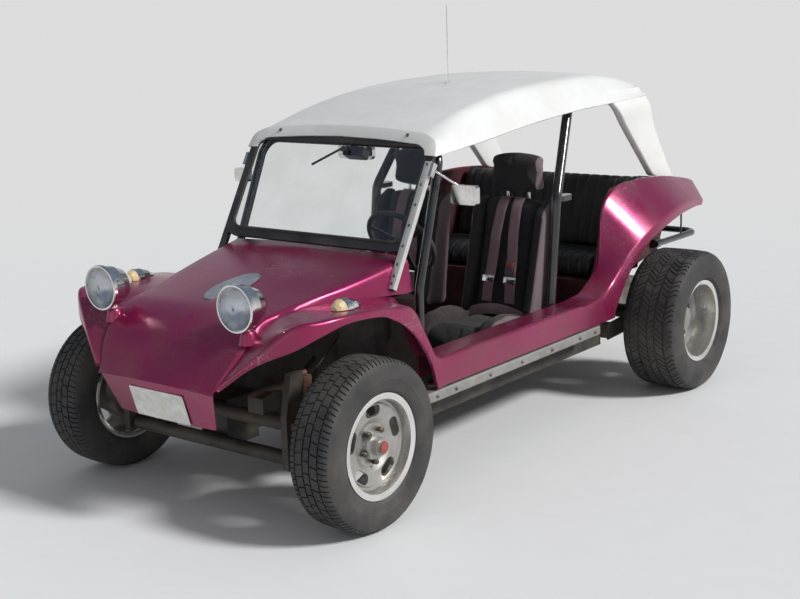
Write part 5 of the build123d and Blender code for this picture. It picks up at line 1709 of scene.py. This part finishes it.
@dataclass
class RearBench:
    """Pleated bench: cushion and back, with upright channels."""

    half: float = 544.0
    channels: int = 18
    reach: float = 0.008
    # Corners in side view: station, height
    cushion: tuple = ((1966, 606), (1956, 665), (1985, 704), (2060, 714), (2330, 694), (2392, 640),
                      (2385, 606))
    back: tuple = ((2345, 690), (2452, 1036), (2482, 1062), (2538, 1046), (2420, 700), (2404, 660))

    def pleated(self, name: str, outline: tuple, corner: float) -> bpy.types.Object:
        """Pad with sewn channels across its width.

        Args:
            name: name of the piece.
            outline: its corners in side view.
            corner: rounding of the corners in millimetres.

        Returns:
            The pad, dressed.
        """
        line, mid = pad_line(outline, corner, 6)
        rows = []
        count = self.channels * 6
        for k in range(count + 1):
            across = k / count * 2 - 1
            end = max(abs(across) - 0.97, 0) / 0.03
            push = 0.002 - 0.018 * end**3
            x = across * self.half / 1000
            rows.append([Vector((x, p.y, p.z)) + (p - mid).normalized() * push for p in line])
        piece = skin(name, capped(rows), angle=50)
        puff(piece, self.reach, 0.011, levels=1)
        pitch = 2 * self.half / self.channels / 1000
        sew(piece, 0.009, 0.007, lambda spot: abs((spot.x / pitch + 0.5) % 1 - 0.5) * pitch)
        smooth(piece, 180)
        fit(piece, FINISHES["bench_vinyl"])
        return piece

    def build(self) -> None:
        """Cushion and back."""
        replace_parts(self.pleated("bench_cushion", self.cushion, 34), "rear_bench")
        self.pleated("bench_back", self.back, 26)


# Trim


@dataclass
class Trim:
    """Small pieces on the windscreen, the dash and the rails."""

    # Columns: x, radius
    dials: tuple[tuple[float, float], ...] = ((300, 46), (205, 27), (140, 27))
    # Station and height of the dials' middles on the dash
    dial_seat: tuple[float, float] = (538.5, 850.0)
    # Section of the post's cover. Columns: x, depth in front of the windscreen's rear face
    cover: tuple = ((489, 22.5), (489, 24.2), (491, 25.2), (519, 25.2), (521, 24.2), (521, 2), (520.3, 2),
                    (520.3, 22.5))
    post_bolts: tuple[float, ...] = (38, 70, 120, 200, 290, 380, 470, 560)
    # Domed bolt head for a radius of one. Columns: height, radius
    bolt: tuple = ((0, 0), (0, 1), (0.35, 0.8), (0.6, 0.3), (0.62, 0))
    # Section of the seal. Columns: growth of its loop, depth in front of the windscreen's rear face
    seal: tuple = ((0, 21.5), (-1, 24.5), (-5, 25.5), (-11, 24.5), (-14, 20.0), (-14, 14.4))
    # Width and height of the glass with its seal, and the height of its middle up the windscreen
    glass: tuple[float, float] = (980.4, 446.0)
    glass_middle: float = 427.0
    # x of the rails' outer faces, height of their bolts and stations of the bolts
    rail_face: float = 698.0
    rail_middle: float = 401.0
    rail_bolts: tuple[float, ...] = (470, 600, 850, 1100, 1350, 1600, 1740)

    def build(self) -> None:
        """Add the trim."""
        self.screen()
        self.dash()
        self.rails()

    def screen(self) -> None:
        """Cover and bolts of the left post, bolts of the header, rubber seal of the glass."""
        top = Hardtop()
        cover = [*self.cover, self.cover[0]]
        rows = [[top.on_screen(x, height, depth) for x, depth in cover] for height in range(14, 602, 28)]
        fit(skin("post_cover_left", capped(rows), angle=30), POST_ALLOY)
        out = (top.on_screen(0, 0, 1000) - top.on_screen(0, 0, 0)).normalized()
        spots = [(505, height, 25.2, 7.0) for height in self.post_bolts]
        spots += [(side * 363, 684, 29.5, 9.0) for side in (-1, 1)]
        bolts = []
        for i, (x, height, depth, size) in enumerate(spots):
            dome = [(up * size, across * size) for up, across in self.bolt]
            bolts.append(turned(f"bolt_{i}", top.on_screen(x, height, depth), dome, out, 14))
        fit(joined("screen_bolts", bolts), FINISHES["link_steel"])
        rows = []
        for growth, depth in self.seal:
            loop = loop_round(self.glass[0] + 2 * growth, self.glass[1] + 2 * growth, 40, 8)
            rows.append([top.on_screen(dx, self.glass_middle + dy, depth) for dx, dy in loop])
        fit(skin("glass_seal", rows, 1.5, out, 60), FINISHES["wheel_rubber"])

    def dash(self) -> None:
        """Round dials on the dash, with plain marks."""
        aft = Vector((0, 1, 0))
        for i, (x, radius) in enumerate(self.dials):
            seat = at(x, *self.dial_seat)
            ring = turned(f"dial_ring_{i}", seat, ((0, radius - 6), (0, radius), (6, radius), (9, radius - 3),
                                                   (8, radius - 6), (3, radius - 6), (0, radius - 6)), aft)
            fit(ring, FINISHES["chrome"])
            face = turned(f"dial_face_{i}", seat, ((0.5, 0), (0.5, radius - 6), (3, radius - 6), (3, 0)), aft)
            fit(face, FINISHES["frame_black"])
            circle = radius * 0.72 / 1000
            turns = [math.radians(-45 + 270 * k / 8) for k in range(9)]
            spots = [seat + Vector((circle * math.cos(turn), 0.003, circle * math.sin(turn)))
                     for turn in turns]
            marks = joined(f"dial_marks_{i}", [hex_bolt(spot, aft, 1.8, 0.8) for spot in spots])
            fit(marks, FINISHES["plate_white"])

    def rails(self) -> None:
        """Bolts along the side rails."""
        for side, hand in SIDES:
            spots = [at(side * self.rail_face, station, self.rail_middle) for station in self.rail_bolts]
            bolts = [hex_bolt(spot, Vector((side, 0, 0)), 7.5, 6) for spot in spots]
            fit(joined("rail_bolts_" + hand, bolts), FINISHES["link_steel"])


# Stage


@dataclass
class Studio:
    """Floor, light and the camera of the photograph."""

    # Camera: place in metres and angles in radians
    eye: tuple[float, float, float] = (3.777994, -4.975601, 1.925627)
    yaw: float = -0.6677141
    pitch: float = -0.2140098
    roll: float = -0.0293249
    # Focal length and width of the photograph in pixels, and the width of the camera's film in millimetres
    focal_px: float = 1324.8535
    photo_px: float = 800.0
    film: float = 36.0
    # Sun: power, spread in degrees, direction it comes from
    sun_power: float = 3.1
    sun_spread: float = 11.0
    sun_from: tuple[float, float, float] = (0.76, 0.20, 0.60)
    # Soft lamp in front: place, the point it looks at, size in metres, power
    front_spot: tuple[float, float, float] = (1.5, -9.0, 3.0)
    front_aim: tuple[float, float, float] = (0.0, 0.0, 0.7)
    front_size: float = 5.0
    front_power: float = 30.0
    sky: tuple[float, float, float] = (0.90, 0.93, 0.97)
    sky_power: float = 0.35
    overhead: tuple[float, float, float] = (0.17, 0.21, 0.28)
    floor_size: float = 120.0
    floor_tone: float = 0.78
    backdrop: float = 0.72
    # Distances from the middle of the car between which the floor turns into the backdrop, in metres
    fade_from: float = 3.0
    fade_to: float = 8.0

    def camera(self) -> None:
        """Camera at the photograph's place."""
        cp, sp = math.cos(self.pitch), math.sin(self.pitch)
        ahead = Vector((cp * math.sin(self.yaw), cp * math.cos(self.yaw), sp))
        right = ahead.cross(Vector((0, 0, 1))).normalized()
        up = right.cross(ahead)
        cr, sr = math.cos(self.roll), math.sin(self.roll)
        side, top = right * cr + up * sr, up * cr - right * sr
        data = bpy.data.cameras.new("camera")
        data.sensor_width = self.film
        data.lens = self.focal_px / self.photo_px * self.film
        camera = bpy.data.objects.new("camera", data)
        camera.matrix_world = Matrix.Translation(self.eye) @ Matrix((side, top, -ahead)).transposed().to_4x4()
        bpy.context.scene.collection.objects.link(camera)
        bpy.context.scene.camera = camera

    def lamps(self) -> None:
        """Sun, and a soft square lamp in front that looks at the car."""
        sun = bpy.data.lights.new("key", "SUN")
        sun.energy, sun.angle = self.sun_power, math.radians(self.sun_spread)
        key = bpy.data.objects.new("key", sun)
        key.rotation_euler = Vector(self.sun_from).to_track_quat("Z", "Y").to_euler()
        bpy.context.scene.collection.objects.link(key)
        soft = bpy.data.lights.new("front", "AREA")
        soft.size, soft.energy = self.front_size, self.front_power
        front = bpy.data.objects.new("front", soft)
        front.location = self.front_spot
        front.rotation_euler = (Vector(self.front_aim) - front.location).to_track_quat("-Z", "Y").to_euler()
        bpy.context.scene.collection.objects.link(front)

    def fade(self, material: bpy.types.Material) -> None:
        """Let the floor run into the backdrop far from the car, with no horizon.

        Args:
            material: the floor's.
        """
        tree = material.node_tree
        wire = Wire(tree)
        far = wire.add("VectorMath", wire.add("TexCoord", out=3), out=1, operation="LENGTH")
        path = tree.nodes.new("ShaderNodeLightPath")
        seen = wire.math("MAXIMUM", path.outputs["Is Camera Ray"], wire.math(
            "MAXIMUM", path.outputs["Is Glossy Ray"], path.outputs["Is Transmission Ray"]))
        glow, blend = tree.nodes.new("ShaderNodeEmission"), tree.nodes.new("ShaderNodeMixShader")
        glow.inputs["Color"].default_value = rgba((self.backdrop,) * 3)
        wire.set(blend.inputs[0], wire.math("MULTIPLY", seen, wire.span(far, self.fade_from, self.fade_to)))
        tree.links.new(tree.nodes["Principled BSDF"].outputs[0], blend.inputs[1])
        tree.links.new(glow.outputs[0], blend.inputs[2])
        tree.links.new(blend.outputs[0], tree.nodes["Material Output"].inputs[0])

    def floor(self) -> None:
        """Pale floor under the car, which is no part of it."""
        clear_selection()
        bpy.ops.mesh.primitive_grid_add(x_subdivisions=8, y_subdivisions=8, size=self.floor_size,
                                        location=(0, 0, -0.0005))
        floor = bpy.context.object
        floor.name = "floor"
        dress(floor, Finish("floor_pale", (self.floor_tone,) * 3, (self.floor_tone * 0.98,) * 3, (0.85, 0.95),
                            dust=0.0, bump=0.0001))
        self.fade(floor.data.materials[0])

    def world(self) -> None:
        """Pale backdrop for the camera and through glass, darker overhead in reflections, and a soft sky."""
        world = bpy.data.worlds.new("studio")
        bpy.context.scene.world = world
        world.use_nodes = True
        nodes, links = world.node_tree.nodes, world.node_tree.links
        nodes.clear()
        out = nodes.new("ShaderNodeOutputWorld")
        soft, seen = nodes.new("ShaderNodeBackground"), nodes.new("ShaderNodeBackground")
        blend = nodes.new("ShaderNodeMixShader")
        soft.inputs[0].default_value = rgba(self.sky)
        soft.inputs[1].default_value = self.sky_power
        wire = Wire(world.node_tree)
        height = wire.add("SeparateXYZ", wire.add("TexCoord", out=0), out=2)
        path = nodes.new("ShaderNodeLightPath")
        pale = (self.backdrop,) * 3
        above = wire.mix(wire.span(height, 0.05, 0.5), pale, self.overhead)
        wire.set(seen.inputs[0], wire.mix(path.outputs["Is Glossy Ray"], pale, above))
        clear = wire.math("MAXIMUM", path.outputs["Is Glossy Ray"], path.outputs["Is Transmission Ray"])
        wire.set(blend.inputs[0], wire.math("MAXIMUM", path.outputs["Is Camera Ray"], clear))
        links.new(soft.outputs[0], blend.inputs[1])
        links.new(seen.outputs[0], blend.inputs[2])
        links.new(blend.outputs[0], out.inputs[0])

    def build(self) -> None:
        """Floor, world, lamps and camera."""
        self.floor()
        self.world()
        self.lamps()
        self.camera()
        bpy.context.scene.view_settings.view_transform = "Standard"


def dress_frame() -> None:
    """Give each CAD node that stays the finish of its slot."""
    for row in frame["record"]["subparts"]:
        node, slot = row["node"], row["material_slot"]
        if node not in frame["nodes"] or node.startswith(("rim_", "tyre_")):
            continue
        finish = {"rear_tub": RISER_RED, "nose_panel": PAINT}.get(node, FINISHES[slot])
        dress(frame["nodes"][node], finish)


def main() -> None:
    """Build everything in order."""
    logging.basicConfig(level=logging.INFO, format="%(message)s")
    dress_frame()
    for part in (Studio(), Hood(), Fender(), Quarter(), Hardtop(), Wheels(), Seats(), RearBench(), Trim()):
        part.build()
        log.info("built %s", type(part).__name__)


if __name__ == "__main__":
    main()
